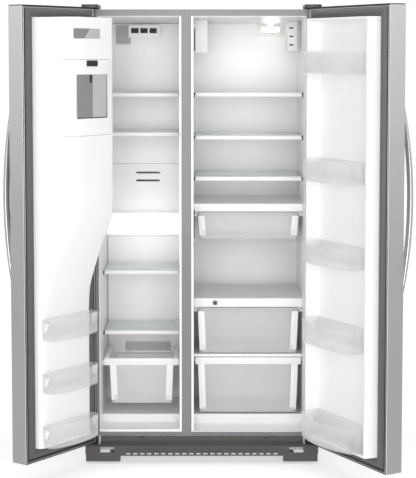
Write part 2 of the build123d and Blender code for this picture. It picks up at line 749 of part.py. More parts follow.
def drawer_cover(spec):
    """Cover plate over a drawer, with the side rails that the drawer's lips slide on."""
    x = (FRIDGE_X[0] + SLIDE_GAP, FRIDGE_X[1] - SLIDE_GAP)
    top = spec["fascia"][1]
    cover = box(x, (DRAWER_FRONT, COVER_BACK), (top - COVER_PLATE, top))
    cover += box(x, (DRAWER_FRONT - WEB, DRAWER_FRONT + WEB), spec["fascia"])
    ledge_top = spec["z"][1] - LIP_H - LEDGE_GAP
    rail_y = (DRAWER_FRONT + RAIL_RUN_OUT, spec["back"] + RAIL_RUN_OUT)
    for side in (0, 1):
        wall = x[side]
        inward = 1 if side == 0 else -1
        web = sorted((wall, wall + inward * WEB))
        ledge = sorted((wall, wall + inward * (DRAWER_SIDE - SLIDE_GAP - WEB)))
        cover += box(web, rail_y, (ledge_top - RAIL_LEDGE, top - COVER_PLATE / 2))
        cover += box(ledge, rail_y, (ledge_top - RAIL_LEDGE, ledge_top))
    return cover


def fridge_drawer(spec):
    """One of the refrigerator's three drawers."""
    return drawer(FRIDGE_DRAWER_X, (DRAWER_FRONT, spec["back"]), spec["z"], DRAWER_LIP)


SLIDER_X = (44.0, 60.0)
SLIDER_Z = (601.0, 615.0)
SLIDER_FIT = 0.3
SLIDER_ROUND = 3.0
SLIDER_Y = (110.0, DRAWER_FRONT - WEB - SLIDER_FIT)


def humidity_slider():
    """Sliding knob on the crisper cover's front."""
    return soft_box(SLIDER_X, SLIDER_Y, SLIDER_Z, SLIDER_ROUND, Axis.Y)


# ---------------------------------------------------------------- kick plate
GRILLE_Y = -30.0
GRILLE_BAND_Y = -8.0
GRILLE_T = 3.0
GRILLE_Z = (32.0, 71.0, 84.0, 105.0)
GRILLE_HALF = 394.0
GRILLE_END = 450.5
FOOT_BOX_X = (317.0, 450.5)
FOOT_BOX_LOW = 10.0
FOOT_BOX_BACK = -0.5
FOOT_WINDOW_X = (340.0, 397.0)
FOOT_WINDOW_Z = (45.0, 66.0)
GRILLE_SLOTS = 22
GRILLE_SLOT_HALF = 300.0
GRILLE_SLOT_Z = (37.0, 43.0)
GRILLE_SLOT_SHARE = (0.2, 0.8)


def base_grille():
    """Moulded kick plate: lower face, sloped step, upper band and the two deeper ends."""
    front, band, t = GRILLE_Y, GRILLE_BAND_Y, GRILLE_T
    low, step, slope, top = GRILLE_Z
    outline = [
        (front, low),
        (front, step),
        (band, slope),
        (band, top),
        (band + t, top),
        (band + t, slope - t / 2),
        (front + t, step - t / 2),
        (front + t, low),
    ]
    grille = prism_x(outline, (-GRILLE_HALF, GRILLE_HALF))
    grille += box((-GRILLE_END, GRILLE_END), (front, front + t), (low, step))
    for end in ((-FOOT_BOX_X[1], -FOOT_BOX_X[0]), FOOT_BOX_X):
        shell = box(end, (front, FOOT_BOX_BACK), (FOOT_BOX_LOW, step))
        shell -= box((end[0] + t, end[1] - t), (front + t, 0.0), (FOOT_BOX_LOW - t, step - t))
        grille += shell
    for window in ((-FOOT_WINDOW_X[1], -FOOT_WINDOW_X[0]), FOOT_WINDOW_X):
        grille -= box(window, (front - t, front + 2 * t), FOOT_WINDOW_Z)
    pitch = 2 * GRILLE_SLOT_HALF / GRILLE_SLOTS
    for k in range(GRILLE_SLOTS):
        ends = [(k + share) * pitch - GRILLE_SLOT_HALF for share in GRILLE_SLOT_SHARE]
        grille -= box(ends, (front - t, front + 2 * t), GRILLE_SLOT_Z)
    return grille


# ---------------------------------------------------------------- hinges
PIN_X = HALF - HINGE_INSET
TOP_PLATE_Z = (1764.5, 1768.5)
TOP_PLATE_X = (398.0, 452.0)
TOP_PLATE_Y = (-52.0, 95.0)
TOP_PIN_LOW = 1752.5
LOW_PLATE_Z = (79.0, 85.0)
LOW_PLATE_X = (402.0, 452.0)
LOW_PIN_TOP = 99.0
COVER_TOP = 1778.0
PLATE_LEG_Y = 10.0
CAP_GROW = (3.0, 6.0)
CAP_REACH = 8.0
CAP_ROUND = 12.0
CAP_CLEAR = 0.5
LOW_PLATE_Y = -58.0
LOW_LEG = 5.0


def top_hinge():
    """Left top hinge: plate screwed to the cabinet's top with a pin down into the door."""
    x = (-TOP_PLATE_X[1], -TOP_PLATE_X[0])
    plate = box(x, TOP_PLATE_Y, TOP_PLATE_Z)
    plate += box(x, (PLATE_LEG_Y, TOP_PLATE_Y[1]), (CAB_TOP, TOP_PLATE_Z[0]))
    middle = (TOP_PIN_LOW + TOP_PLATE_Z[0]) / 2
    return plate + rod("z", (-PIN_X, HINGE_Y, middle), PIN_R, TOP_PLATE_Z[0] - TOP_PIN_LOW)


def hinge_cover():
    """Left hinge's moulded cap."""
    x = (-TOP_PLATE_X[1] - CAP_GROW[0], -TOP_PLATE_X[0] + CAP_GROW[1])
    y = (TOP_PLATE_Y[0] - CAP_REACH, TOP_PLATE_Y[1] + CAP_REACH)
    cap = soft_box(x, y, (TOP_PLATE_Z[0], COVER_TOP), CAP_ROUND)
    inner_x = (-TOP_PLATE_X[1] - CAP_CLEAR, -TOP_PLATE_X[0] + CAP_CLEAR)
    inner_y = (TOP_PLATE_Y[0] - CAP_CLEAR, TOP_PLATE_Y[1] + CAP_CLEAR)
    return cap - box(inner_x, inner_y, (CAB_TOP, TOP_PLATE_Z[1] + CAP_CLEAR))


def bottom_hinge():
    """Left bottom hinge: angle bracket with a pin up into the door."""
    x = (-LOW_PLATE_X[1], -LOW_PLATE_X[0])
    plate = box(x, (LOW_PLATE_Y, 0.0), LOW_PLATE_Z)
    plate += box(x, (-LOW_LEG, 0.0), (LOW_PLATE_Z[0], RAIL_Z[0] - 1.0))
    middle = (LOW_PLATE_Z[1] + LOW_PIN_TOP) / 2
    return plate + rod("z", (-PIN_X, HINGE_Y, middle), PIN_R, LOW_PIN_TOP - LOW_PLATE_Z[1])


def pair(shape):
    """A left-hand piece and its mirror image."""
    return group([shape, mirrored(shape)])


# ---------------------------------------------------------------- doors, built closed
# u runs along X from the hinge-side edge; depth runs into the cabinet from the door's rear plane.
DISPENSER_U = (95.0, 299.0)
DISPENSER_Z = (940.0, 1392.0)
DISPENSER_REAR = 3.0


def door_block(width, inset, z):
    """Door body outline with rounded front corners, shrunk by an inset."""
    block = box((inset, width - inset), (DOOR_FACE + inset, DOOR_REAR - PLATE), z)
    front_edges = block.edges().filter_by(Axis.Z).sort_by(Axis.Y)[:2]
    return fillet(front_edges, DOOR_CORNER - inset)


def dispenser_cut():
    """Space that the dispenser takes out of the freezer door."""
    return box(DISPENSER_U, (DOOR_FACE - 2.0, DISPENSER_REAR), DISPENSER_Z)


def door_skin(width):
    """Stainless wrap round the door's front and sides."""
    z = DOOR_Z
    return door_block(width, 0.0, z) - door_block(width, DOOR_SKIN, (z[0] - 1.0, z[1] + 1.0))


def door_caps(width):
    """Top and bottom end caps with the bores for the hinge pins."""
    caps = []
    for z in ((DOOR_Z[0] + 1.0, DOOR_Z[0] + 1.0 + CAP), (DOOR_Z[1] - 1.0 - CAP, DOOR_Z[1] - 1.0)):
        cap = door_block(width, DOOR_SKIN, z)
        cap -= rod("z", (HINGE_INSET, HINGE_Y, (z[0] + z[1]) / 2), PIN_R + RUN_FIT, 2 * CAP)
        caps.append(cap)
    return group(caps)


def door_foam(width):
    """Foam core between the caps."""
    return door_block(width, DOOR_SKIN, (DOOR_Z[0] + 1.0 + CAP, DOOR_Z[1] - 1.0 - CAP))


def door_gasket(width):
    """Magnetic seal round the door's rear face."""
    y = (DOOR_REAR, -SEAL_GAP)
    u = (SEAL_HINGE_U, width - SEAL_FREE_U)
    ring = soft_box(u, y, SEAL_Z, SEAL_ROUND, Axis.Y)
    hole_u = (u[0] + SEAL_W, u[1] - SEAL_W)
    hole_z = (SEAL_Z[0] + SEAL_W, SEAL_Z[1] - SEAL_W)
    return ring - box(hole_u, (y[0] - 1.0, y[1] + 1.0), hole_z)


def door_handle(width):
    """Bowed upright bar whose two ends run into the door."""
    middle = (HANDLE_Z[0] + HANDLE_Z[1]) / 2
    outer = DOOR_FACE - HANDLE_PROUD
    inner = outer + HANDLE_BAR
    foot = HANDLE_FOOT
    front = ThreePointArc((DOOR_FACE, HANDLE_Z[0]), (outer, middle), (DOOR_FACE, HANDLE_Z[1]))
    down = Line((DOOR_FACE, HANDLE_Z[1]), (DOOR_FACE, HANDLE_Z[1] - foot))
    back = ThreePointArc((DOOR_FACE, HANDLE_Z[1] - foot), (inner, middle), (DOOR_FACE, HANDLE_Z[0] + foot))
    close = Line((DOOR_FACE, HANDLE_Z[0] + foot), (DOOR_FACE, HANDLE_Z[0]))
    face = make_face(Plane.YZ * (front + down + back + close))
    start = width - HANDLE_FROM_FREE - HANDLE_W / 2
    return Pos(start, 0, 0) * extrude(face, amount=HANDLE_W, dir=(1, 0, 0))


def bin_outline(u, reach, bow, inset):
    """Plan of a door bin: straight back and ends, bowed front."""
    back = DOOR_REAR + reach[0] + inset
    end = DOOR_REAR + reach[1] - inset
    crown = end + bow
    a, b = u[0] + inset, u[1] - inset
    lines = Line((a, end), (a, back)) + Line((a, back), (b, back)) + Line((b, back), (b, end))
    return make_face(lines + ThreePointArc((b, end), ((a + b) / 2, crown), (a, end)))


def door_bin(u, reach, bow, z):
    """Clear door bin: floor, ends, back and bowed front."""
    outer = extrude(bin_outline(u, reach, bow, 0.0), amount=z[1] - z[0], dir=(0, 0, 1))
    corners = outer.edges().filter_by(Axis.Z).sort_by(Axis.Y)[-2:]
    outer = fillet(corners, BIN_ROUND)
    inner = extrude(bin_outline(u, reach, bow, BIN_WALL), amount=z[1] - z[0], dir=(0, 0, 1))
    inner_corners = inner.edges().filter_by(Axis.Z).sort_by(Axis.Y)[-2:]
    inner = fillet(inner_corners, BIN_ROUND - BIN_WALL)
    return Pos(0, 0, z[0]) * (outer - Pos(0, 0, BIN_WALL) * inner)


FREEZER_BIN_U = (66.0, 334.0)
FREEZER_BIN_REACH = (30.3, 72.0)
FREEZER_BIN_BOW = 22.0
FRIDGE_BIN_U = (84.0, 420.0)
FRIDGE_BIN_REACH = (0.3, 84.0)
FRIDGE_BIN_BOW = 34.0

MODULE_SIDE = ((56.0, -1.0), (62.0, 14.0), (85.0, 168.0), (300.0, 168.0), (342.0, 14.0), (346.0, -1.0))
MODULE_FULL = 168.0
MODULE_Z = (141.0, 1722.0)
MODULE_CURVE = (
    (636.0, 30.0),
    (706.0, 36.0),
    (763.0, 55.0),
    (827.0, 82.0),
    (912.0, 122.0),
    (985.0, 158.0),
    (1040.0, 168.0),
)
MODULE_WALL = 3.0
ICE_U = (100.0, 360.0)
ICE_DEPTH = 118.0
ICE_Z = (1295.0, 1569.0)
ICE_GAP = 0.5
ICE_REACH = 5.0
LATCH_RIM = 4.0
LATCH_GAP = 0.5
LATCH_U = (179.0, 239.0)
LATCH_Z = (1545.0, 1566.0)
LATCH_DEPTH = (162.5, 169.5)
LATCH_FLOOR = 159.0


def module_side(wall):
    """Side outline of the bulge as a face across Y and Z, shrunk by a wall thickness."""
    curve = [(DOOR_REAR + depth - wall, z + wall / 2) for z, depth in MODULE_CURVE]
    low, high = MODULE_Z[0] + wall, MODULE_Z[1] - wall
    back = DOOR_REAR - 1.0
    edges = Line((back, low), (curve[0][0], low)) + Line((curve[0][0], low), curve[0])
    edges += Spline(*curve, tangents=[(0, 1), (0, 1)])
    edges += Line(curve[-1], (curve[-1][0], high))
    edges += Line((curve[-1][0], high), (back, high)) + Line((back, high), (back, low))
    return make_face(Plane.YZ * edges)


def module_solid(wall):
    """Moulded ice and chute bulge of the freezer door, shrunk by a wall thickness."""
    side_block = extrude(module_side(wall), amount=FREEZER_DOOR_W, dir=(1, 0, 0))
    half = len(MODULE_SIDE) // 2
    plan = []
    for k, (u, depth) in enumerate(MODULE_SIDE):
        plan.append((u + (wall if k < half else -wall), DOOR_REAR + depth))
    return side_block & prism_z(plan, MODULE_Z)


def ice_pocket(gap):
    """Part of the bulge that the ice bin takes."""
    u = (ICE_U[0] - gap, ICE_U[1])
    depth = (DOOR_REAR + ICE_DEPTH - gap, DOOR_REAR + MODULE_FULL + ICE_REACH)
    return box(u, depth, (ICE_Z[0] - gap, ICE_Z[1] + gap))


def liner_plate(width):
    """Flat lining over the whole rear face of a door."""
    return box((0, width), (DOOR_REAR - PLATE, DOOR_REAR), DOOR_Z)


def freezer_door_liner():
    """Freezer door lining with the hollow ice and chute bulge."""
    cavity = module_solid(MODULE_WALL)
    shell = liner_plate(FREEZER_DOOR_W) + module_solid(0.0)
    mouth = cavity & box((0, FREEZER_DOOR_W), (DOOR_REAR - 1.0, DOOR_REAR + PLATE), (0, CAB_TOP))
    shell -= cavity
    shell -= Pos(0, -PLATE, 0) * mouth
    return shell - ice_pocket(ICE_GAP) - dispenser_cut()


def ice_bin():
    """Ice bin front: a tray wrapped round the bulge's face, open towards the door."""
    block = module_solid(0.0) & ice_pocket(0.0)
    inner = module_solid(MODULE_WALL) & box(
        (ICE_U[0] + MODULE_WALL, ICE_U[1]),
        (0, DOOR_REAR + MODULE_FULL),
        (ICE_Z[0] + MODULE_WALL, ICE_Z[1] + MODULE_WALL),
    )
    boss_u = (LATCH_U[0] - LATCH_RIM, LATCH_U[1] + LATCH_RIM)
    boss_y = (DOOR_REAR + LATCH_FLOOR - MODULE_WALL, DOOR_REAR + MODULE_FULL)
    boss = box(boss_u, boss_y, (LATCH_Z[0] - LATCH_RIM, ICE_Z[1]))
    hole_u = (LATCH_U[0] - LATCH_GAP, LATCH_U[1] + LATCH_GAP)
    hole_y = (DOOR_REAR + LATCH_FLOOR, DOOR_REAR + MODULE_FULL + ICE_REACH)
    hole = box(hole_u, hole_y, (LATCH_Z[0] - LATCH_GAP, LATCH_Z[1] + LATCH_GAP))
    return block - inner + boss - hole


def ice_bin_latch():
    """Press latch at the top of the ice bin."""
    depth = (DOOR_REAR + LATCH_DEPTH[0], DOOR_REAR + LATCH_DEPTH[1])
    return soft_box(LATCH_U, depth, LATCH_Z, LATCH_RIM, Axis.Y)


RECESS_U = (105.0, 289.0)
RECESS_Z = (962.0, 1285.0)
RECESS_REAR = -6.0
PADDLE_Z = (1060.0, 1186.0)
PADDLE_Y = (-34.0, -30.0)
PADDLES_U = ((146.0, 186.0), (208.0, 248.0))
PIVOT_R = 3.0
EYE_WALL = 3.0
HOUSING_FIT = 0.4
HOUSING_PROUD = 1.5
RECESS_OPEN = 5.0
CHEEK = 3.0
CHEEK_GAP = 4.0
CHEEK_DROP = 6.0


def dispenser_housing():
    """Moulded dispenser recess let into the freezer door's front."""
    u = (DISPENSER_U[0] + HOUSING_FIT, DISPENSER_U[1] - HOUSING_FIT)
    z = (DISPENSER_Z[0] + HOUSING_FIT, DISPENSER_Z[1] - HOUSING_FIT)
    body = box(u, (DOOR_FACE - HOUSING_PROUD, DISPENSER_REAR - HOUSING_FIT), z)
    body -= box(RECESS_U, (DOOR_FACE - RECESS_OPEN, RECESS_REAR), RECESS_Z)
    for lever_u in PADDLES_U:
        body += lever_seat(lever_u)
    return body


def lever_seat(u):
    """Cross pin of one lever between two cheeks that hang from the recess's ceiling."""
    middle = ((u[0] + u[1]) / 2, (PADDLE_Y[0] + PADDLE_Y[1]) / 2, PADDLE_Z[1])
    seat = rod("x", middle, PIVOT_R, u[1] - u[0] + 2 * (CHEEK + CHEEK_GAP))
    cheek_y = (PADDLE_Y[0] - CHEEK, RECESS_REAR)
    for edge in (u[0] - CHEEK - CHEEK_GAP, u[1] + CHEEK_GAP):
        seat += box((edge, edge + CHEEK), cheek_y, (PADDLE_Z[1] - CHEEK_DROP, RECESS_Z[1]))
    return seat


def paddle(u):
    """Dispenser lever hanging from its cross pin."""
    middle = ((u[0] + u[1]) / 2, (PADDLE_Y[0] + PADDLE_Y[1]) / 2, PADDLE_Z[1])
    lever = box(u, PADDLE_Y, (PADDLE_Z[0], PADDLE_Z[1] - PIVOT_R))
    lever += rod("x", middle, PIVOT_R + EYE_WALL, u[1] - u[0])
    return lever - rod("x", middle, PIVOT_R + RUN_FIT, 2 * (u[1] - u[0]))


DIKE_OUTER = ((58.0, 0.0), (62.0, 52.0), (455.0, 52.0), (464.0, 0.0))
DIKE_INNER = ((83.0, 0.0), (68.0, 53.0), (446.0, 53.0), (425.0, 0.0))
DIKE_Z = (141.0, 1722.0)
DIKE_RIM = 8.0


def fridge_door_liner():
    """Refrigerator door lining with the raised rim that holds the bins."""
    plate = liner_plate(FRIDGE_DOOR_W)
    outer = prism_z([(u, DOOR_REAR + depth) for u, depth in DIKE_OUTER], DIKE_Z)
    inner_z = (DIKE_Z[0] + DIKE_RIM, DIKE_Z[1] - DIKE_RIM)
    inner = prism_z([(u, DOOR_REAR + depth) for u, depth in DIKE_INNER], inner_z)
    return plate + (outer - inner)


def place_left(shape):
    """Put a door piece at the left, swung open about its pins."""
    swing = Pos(-PIN_X, HINGE_Y, 0) * Rot(0, 0, -FREEZER_SWING) * Pos(PIN_X, -HINGE_Y, 0)
    return swing * Pos(-HALF, 0, 0) * shape


def place_right(shape):
    """Put a door piece at the right, mirrored and swung open about its pins."""
    swing = Pos(PIN_X, HINGE_Y, 0) * Rot(0, 0, FRIDGE_SWING) * Pos(-PIN_X, -HINGE_Y, 0)
    return swing * mirrored(Pos(-HALF, 0, 0) * shape)


# ---------------------------------------------------------------- assembly
def cabinet_foam():
    """Foam between the steel wrap, the linings and the base."""
    inner = HALF - SHEET
    foam = box((-inner, inner), (BASE_FRONT, CAB_DEPTH - SHEET), (PAN_Z, CAB_TOP - SHEET))
    foam -= liner_block(FREEZER_X, FREEZER_FLOOR, FREEZER_BACK, LINER)
    foam -= liner_block(FRIDGE_X, FRIDGE_FLOOR, FRIDGE_BACK, LINER)
    foam -= box((-HALF, HALF), (BAY_Y - BAY_SHEET, CAB_DEPTH), (0, BAY_Z[1] + BAY_SHEET))
    foam -= box(MULLION, (0, MULLION_DEPTH), (0, CAB_TOP))
    return foam - box((-HALF, HALF), (0, RAIL_DEPTH), RAIL_Z)


nodes["outer_wrapper"] = outer_wrapper()
nodes["rear_panel"] = rear_panel()
nodes["centre_mullion"] = centre_mullion()
nodes["front_bottom_rail"] = front_bottom_rail()
nodes["cabinet_foam"] = cabinet_foam()
nodes["freezer_liner"] = freezer_liner()
nodes["fridge_liner"] = fridge_liner()
nodes["base_pan"] = base_pan()
nodes["base_grille"] = base_grille()
nodes["levelling_feet"] = levelling_feet()
nodes["front_rollers"] = rollers(FRONT_ROLLER)
nodes["rear_rollers"] = rollers(REAR_ROLLER)
nodes["rear_machine_cover"] = rear_machine_cover()
nodes["power_inlet"] = power_inlet()
nodes["water_valve"] = water_valve()
nodes["compressor"] = compressor()
nodes["condenser_coil"] = condenser_coil()
nodes["drain_pan"] = drain_pan()
nodes["condenser_fan_blade"] = fan_blade(CFAN, "x")
nodes["evaporator_fan_blade"] = fan_blade(EFAN, "y")
nodes["fan_motors"] = fan_motors()
nodes["evaporator_cover"] = evaporator_cover()
nodes["freezer_duct_cover"] = freezer_duct_cover()
nodes["evaporator_coil"] = evaporator_coil()
nodes["lamp_covers"] = lamp_covers()
nodes["lamps"] = lamps()
nodes["control_housing"] = control_housing()
nodes["filter_housing"] = filter_housing()
nodes["shelf_frames"] = shelf_frames()
nodes["shelf_glass"] = shelf_glass()
nodes["deli_cover"] = drawer_cover(DELI)
nodes["deli_drawer"] = fridge_drawer(DELI)
nodes["crisper_cover"] = drawer_cover(UPPER_CRISPER)
nodes["upper_crisper"] = fridge_drawer(UPPER_CRISPER)
nodes["crisper_frame"] = drawer_cover(LOWER_CRISPER)
nodes["lower_crisper"] = fridge_drawer(LOWER_CRISPER) + front_bar(FRIDGE_BAR_X, FRIDGE_BAR_Z)
nodes["humidity_slider"] = humidity_slider()
nodes["freezer_drawer"] = drawer(FREEZER_DRAWER_X, FREEZER_DRAWER_Y, FREEZER_DRAWER_Z, FREEZER_LIP)
nodes["freezer_drawer"] += front_bar(FREEZER_BAR_X, FREEZER_BAR_Z)
nodes["freezer_drawer"] -= box(FREEZER_BAR_X, DRAWER_DIP_Y, DRAWER_DIP_Z)
nodes["top_hinges"] = pair(top_hinge())
nodes["hinge_covers"] = pair(hinge_cover())
nodes["bottom_hinges"] = pair(bottom_hinge())

FREEZER_DOOR = {
    "freezer_door_skin": door_skin(FREEZER_DOOR_W) - dispenser_cut(),
    "freezer_door_caps": door_caps(FREEZER_DOOR_W),
    "freezer_door_foam": door_foam(FREEZER_DOOR_W) - dispenser_cut(),
    "freezer_door_liner": freezer_door_liner(),
    "freezer_door_gasket": door_gasket(FREEZER_DOOR_W),
    "freezer_door_handle": door_handle(FREEZER_DOOR_W),
    "freezer_door_bins": group(
        [door_bin(FREEZER_BIN_U, FREEZER_BIN_REACH, FREEZER_BIN_BOW, z) for z in FREEZER_BINS_Z]
    ),
    "ice_bin": ice_bin(),
    "ice_bin_latch": ice_bin_latch(),
    "dispenser_housing": dispenser_housing(),
    "ice_paddle": paddle(PADDLES_U[0]),
    "water_paddle": paddle(PADDLES_U[1]),
}
FRIDGE_DOOR = {
    "fridge_door_skin": door_skin(FRIDGE_DOOR_W),
    "fridge_door_caps": door_caps(FRIDGE_DOOR_W),
    "fridge_door_foam": door_foam(FRIDGE_DOOR_W),
    "fridge_door_liner": fridge_door_liner(),
    "fridge_door_gasket": door_gasket(FRIDGE_DOOR_W),
    "fridge_door_handle": door_handle(FRIDGE_DOOR_W),
    "fridge_door_bins": group(
        [door_bin(FRIDGE_BIN_U, FRIDGE_BIN_REACH, FRIDGE_BIN_BOW, z) for z in FRIDGE_BINS_Z]
    ),
}
for name, shape in FREEZER_DOOR.items():
    nodes[name] = place_left(shape)
for name, shape in FRIDGE_DOOR.items():
    nodes[name] = place_right(shape)

os.makedirs("parts", exist_ok=True)
for name, shape in nodes.items():
    export_step(Pos(ROW_X, ROW_Y, 0) * shape, f"parts/{name}.step")
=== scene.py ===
import json
import logging
import math
from collections.abc import Callable, Iterator
from contextlib import contextmanager
from dataclasses import dataclass
from enum import Enum

import bmesh
import bpy
from mathutils import Matrix, Vector


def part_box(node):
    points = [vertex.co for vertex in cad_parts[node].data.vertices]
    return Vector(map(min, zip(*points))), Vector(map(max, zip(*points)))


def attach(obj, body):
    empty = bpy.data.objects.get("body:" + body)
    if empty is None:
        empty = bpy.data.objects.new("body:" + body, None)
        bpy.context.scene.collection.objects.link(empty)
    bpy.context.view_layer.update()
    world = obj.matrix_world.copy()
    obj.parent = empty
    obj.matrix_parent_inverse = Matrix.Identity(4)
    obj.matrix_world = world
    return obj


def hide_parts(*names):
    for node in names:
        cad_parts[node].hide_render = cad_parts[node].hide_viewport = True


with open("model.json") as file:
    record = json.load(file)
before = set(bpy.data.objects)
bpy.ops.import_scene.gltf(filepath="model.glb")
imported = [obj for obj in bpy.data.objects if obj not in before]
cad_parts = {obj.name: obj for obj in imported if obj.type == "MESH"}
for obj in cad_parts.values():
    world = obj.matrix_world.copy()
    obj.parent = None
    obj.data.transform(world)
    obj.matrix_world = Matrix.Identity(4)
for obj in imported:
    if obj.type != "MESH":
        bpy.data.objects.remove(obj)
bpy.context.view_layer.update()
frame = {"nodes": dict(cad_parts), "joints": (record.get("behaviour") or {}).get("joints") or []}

log = logging.getLogger("refrigerator")

MM = 0.001
X, Y, Z = 0, 1, 2
Span = tuple[float, float]
Test = Callable[[Vector, Vector], bool]
Piece = bpy.types.Object
WRAP_LOW, WRAP_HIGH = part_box("outer_wrapper")
FRONT = WRAP_LOW.y
MIDDLE = (WRAP_LOW.x + WRAP_HIGH.x) / 2
HALF = (WRAP_HIGH.x - WRAP_LOW.x) / 2 / MM


# ---------------------------------------------------------------- the modelling bench
def select_only(obj: Piece) -> None:
    """Make one object the active and only selected one."""
    bpy.ops.object.select_all(action="DESELECT")
    obj.select_set(True)
    bpy.context.view_layer.objects.active = obj


@contextmanager
def editing(obj: Piece, mode: str = "FACE") -> Iterator[None]:
    """Hold an object in edit mode with nothing selected.

    Args:
        obj: The mesh object to edit.
        mode: The selection mode, VERT, EDGE or FACE.
    """
    select_only(obj)
    bpy.ops.object.mode_set(mode="EDIT")
    bpy.ops.mesh.select_mode(type=mode)
    bpy.ops.mesh.select_all(action="DESELECT")
    yield
    bpy.ops.object.mode_set(mode="OBJECT")


def pick(obj: Piece, mode: str, test: Test) -> int:
    """Select the verts, edges or faces that pass a test.

    Args:
        obj: The object in edit mode.
        mode: What is selected, VERT, EDGE or FACE.
        test: Takes the element's centre in millimetres and its direction or normal.

    Returns:
        How many elements are selected.
    """
    mesh = bmesh.from_edit_mesh(obj.data)
    mesh.normal_update()
    count = 0
    for item in {"VERT": mesh.verts, "EDGE": mesh.edges, "FACE": mesh.faces}[mode]:
        if mode == "VERT":
            centre, direction = item.co / MM, item.normal
        elif mode == "EDGE":
            first, last = item.verts[0].co, item.verts[1].co
            centre, direction = (first + last) / 2 / MM, (last - first).normalized()
        else:
            centre, direction = item.calc_center_median() / MM, item.normal
        chosen = test(centre, direction)
        item.select_set(chosen)
        count += chosen
    mesh.select_flush_mode()
    bmesh.update_edit_mesh(obj.data)
    return count


def on(axis: int, value: float, slack: float = 0.15) -> Test:
    """A test for elements whose centre lies on a plane."""
    return lambda centre, _: abs(centre[axis] - value) < slack


def between(axis: int, low: float, high: float) -> Test:
    """A test for elements whose centre lies between two planes."""
    return lambda centre, _: low < centre[axis] < high


def along(axis: int) -> Test:
    """A test for edges that run along an axis, or faces square to it."""
    return lambda _, direction: abs(direction[axis]) > 0.99


def both(*tests: Test) -> Test:
    """A test that passes where every given test passes."""
    return lambda centre, direction: all(test(centre, direction) for test in tests)


def side_at(axis: int, value: float) -> Test:
    """A test for the faces square to an axis, or edges along it, at one place on it."""
    return both(along(axis), on(axis, value))


def block(name: str, x: Span, y: Span, z: Span) -> Piece:
    """Add a block between two ends on each axis.

    Args:
        name: The object's name.
        x: Ends along X in millimetres.
        y: Ends along Y, from the cabinet's front plane.
        z: Ends along Z, from the floor.

    Returns:
        The new object, its place already in its mesh.
    """
    bpy.ops.object.select_all(action="DESELECT")
    size = Vector((x[1] - x[0], y[1] - y[0], z[1] - z[0])) * MM
    middle = Vector((x[0] + x[1], y[0] + y[1], z[0] + z[1])) * MM / 2
    bpy.ops.mesh.primitive_cube_add(size=1, location=middle, scale=size)
    return settle(name)


def rod(
    name: str,
    axis: int,
    centre: tuple[float, float, float],
    radius: float,
    length: float,
    sides: int = 28,
) -> Piece:
    """Add a round bar along an axis.

    Args:
        name: The object's name.
        axis: The axis that the bar runs along.
        centre: Its middle point in millimetres.
        radius: Its radius.
        length: Its length.
        sides: How many sides make the round.

    Returns:
        The new object.
    """
    bpy.ops.object.select_all(action="DESELECT")
    turn = {X: (0, math.pi / 2, 0), Y: (math.pi / 2, 0, 0), Z: (0, 0, 0)}[axis]
    bpy.ops.mesh.primitive_cylinder_add(
        vertices=sides,
        radius=radius * MM,
        depth=length * MM,
        location=Vector(centre) * MM,
        rotation=turn,
    )
    return settle(name)


def settle(name: str) -> Piece:
    """Name the new primitive and put its place into its mesh."""
    obj = bpy.context.active_object
    obj.name = name
    bpy.ops.object.transform_apply(location=True, rotation=True, scale=True)
    return obj


def bevel(obj: Piece, test: Test, radius: float, segments: int = 4) -> None:
    """Round the edges that pass a test."""
    with editing(obj, "EDGE"):
        if pick(obj, "EDGE", test):
            bpy.ops.mesh.bevel(offset=radius * MM, segments=segments, profile=0.5, affect="EDGES")


def push(obj: Piece, test: Test, move: tuple[float, float, float]) -> None:
    """Extrude the faces that pass a test and move them by millimetres."""
    with editing(obj):
        if pick(obj, "FACE", test):
            bpy.ops.mesh.extrude_region_move(TRANSFORM_OT_translate={"value": Vector(move) * MM})


def slide(obj: Piece, test: Test, move: tuple[float, float, float]) -> None:
    """Move the points that pass a test by millimetres."""
    with editing(obj, "VERT"):
        if pick(obj, "VERT", test):
            bpy.ops.transform.translate(value=Vector(move) * MM)


def inset(obj: Piece, test: Test, steps: tuple[Span, ...]) -> None:
    """Inset the faces that pass a test, step by step.

    Args:
        obj: The object to shape.
        test: Picks the faces.
        steps: For each step, how far in and how far out along the normal, in millimetres.
    """
    with editing(obj):
        if pick(obj, "FACE", test):
            for inward, outward in steps:
                bpy.ops.mesh.inset(thickness=inward * MM, depth=outward * MM)


def cut(obj: Piece, axis: int, value: float) -> None:
    """Cut a ring of edges round the mesh at a plane."""
    point, normal = Vector(), Vector()
    point[axis], normal[axis] = value * MM, 1.0
    with editing(obj):
        bpy.ops.mesh.select_all(action="SELECT")
        bpy.ops.mesh.bisect(plane_co=point, plane_no=normal)


def drop_faces(obj: Piece, test: Test) -> None:
    """Delete the faces that pass a test."""
    with editing(obj):
        if pick(obj, "FACE", test):
            bpy.ops.mesh.delete(type="FACE")


def modify(obj: Piece, kind: str, **settings: object) -> None:
    """Add a modifier, set it and apply it."""
    select_only(obj)
    bpy.ops.object.modifier_add(type=kind)
    modifier = obj.modifiers[-1]
    for key, value in settings.items():
        setattr(modifier, key, value)
    bpy.ops.object.modifier_apply(modifier=modifier.name)


def soften(obj: Piece, width: float, segments: int = 2, angle: float = 32.0) -> None:
    """Round every sharp edge a little and smooth the shading."""
    modify(
        obj,
        "BEVEL",
        width=width * MM,
        segments=segments,
        limit_method="ANGLE",
        angle_limit=math.radians(angle),
        harden_normals=False,
    )
    smooth(obj)


def smooth(obj: Piece, angle: float = 40.0) -> None:
    """Shade smooth, but keep the sharp edges."""
    select_only(obj)
    bpy.ops.object.shade_smooth_by_angle(angle=math.radians(angle))


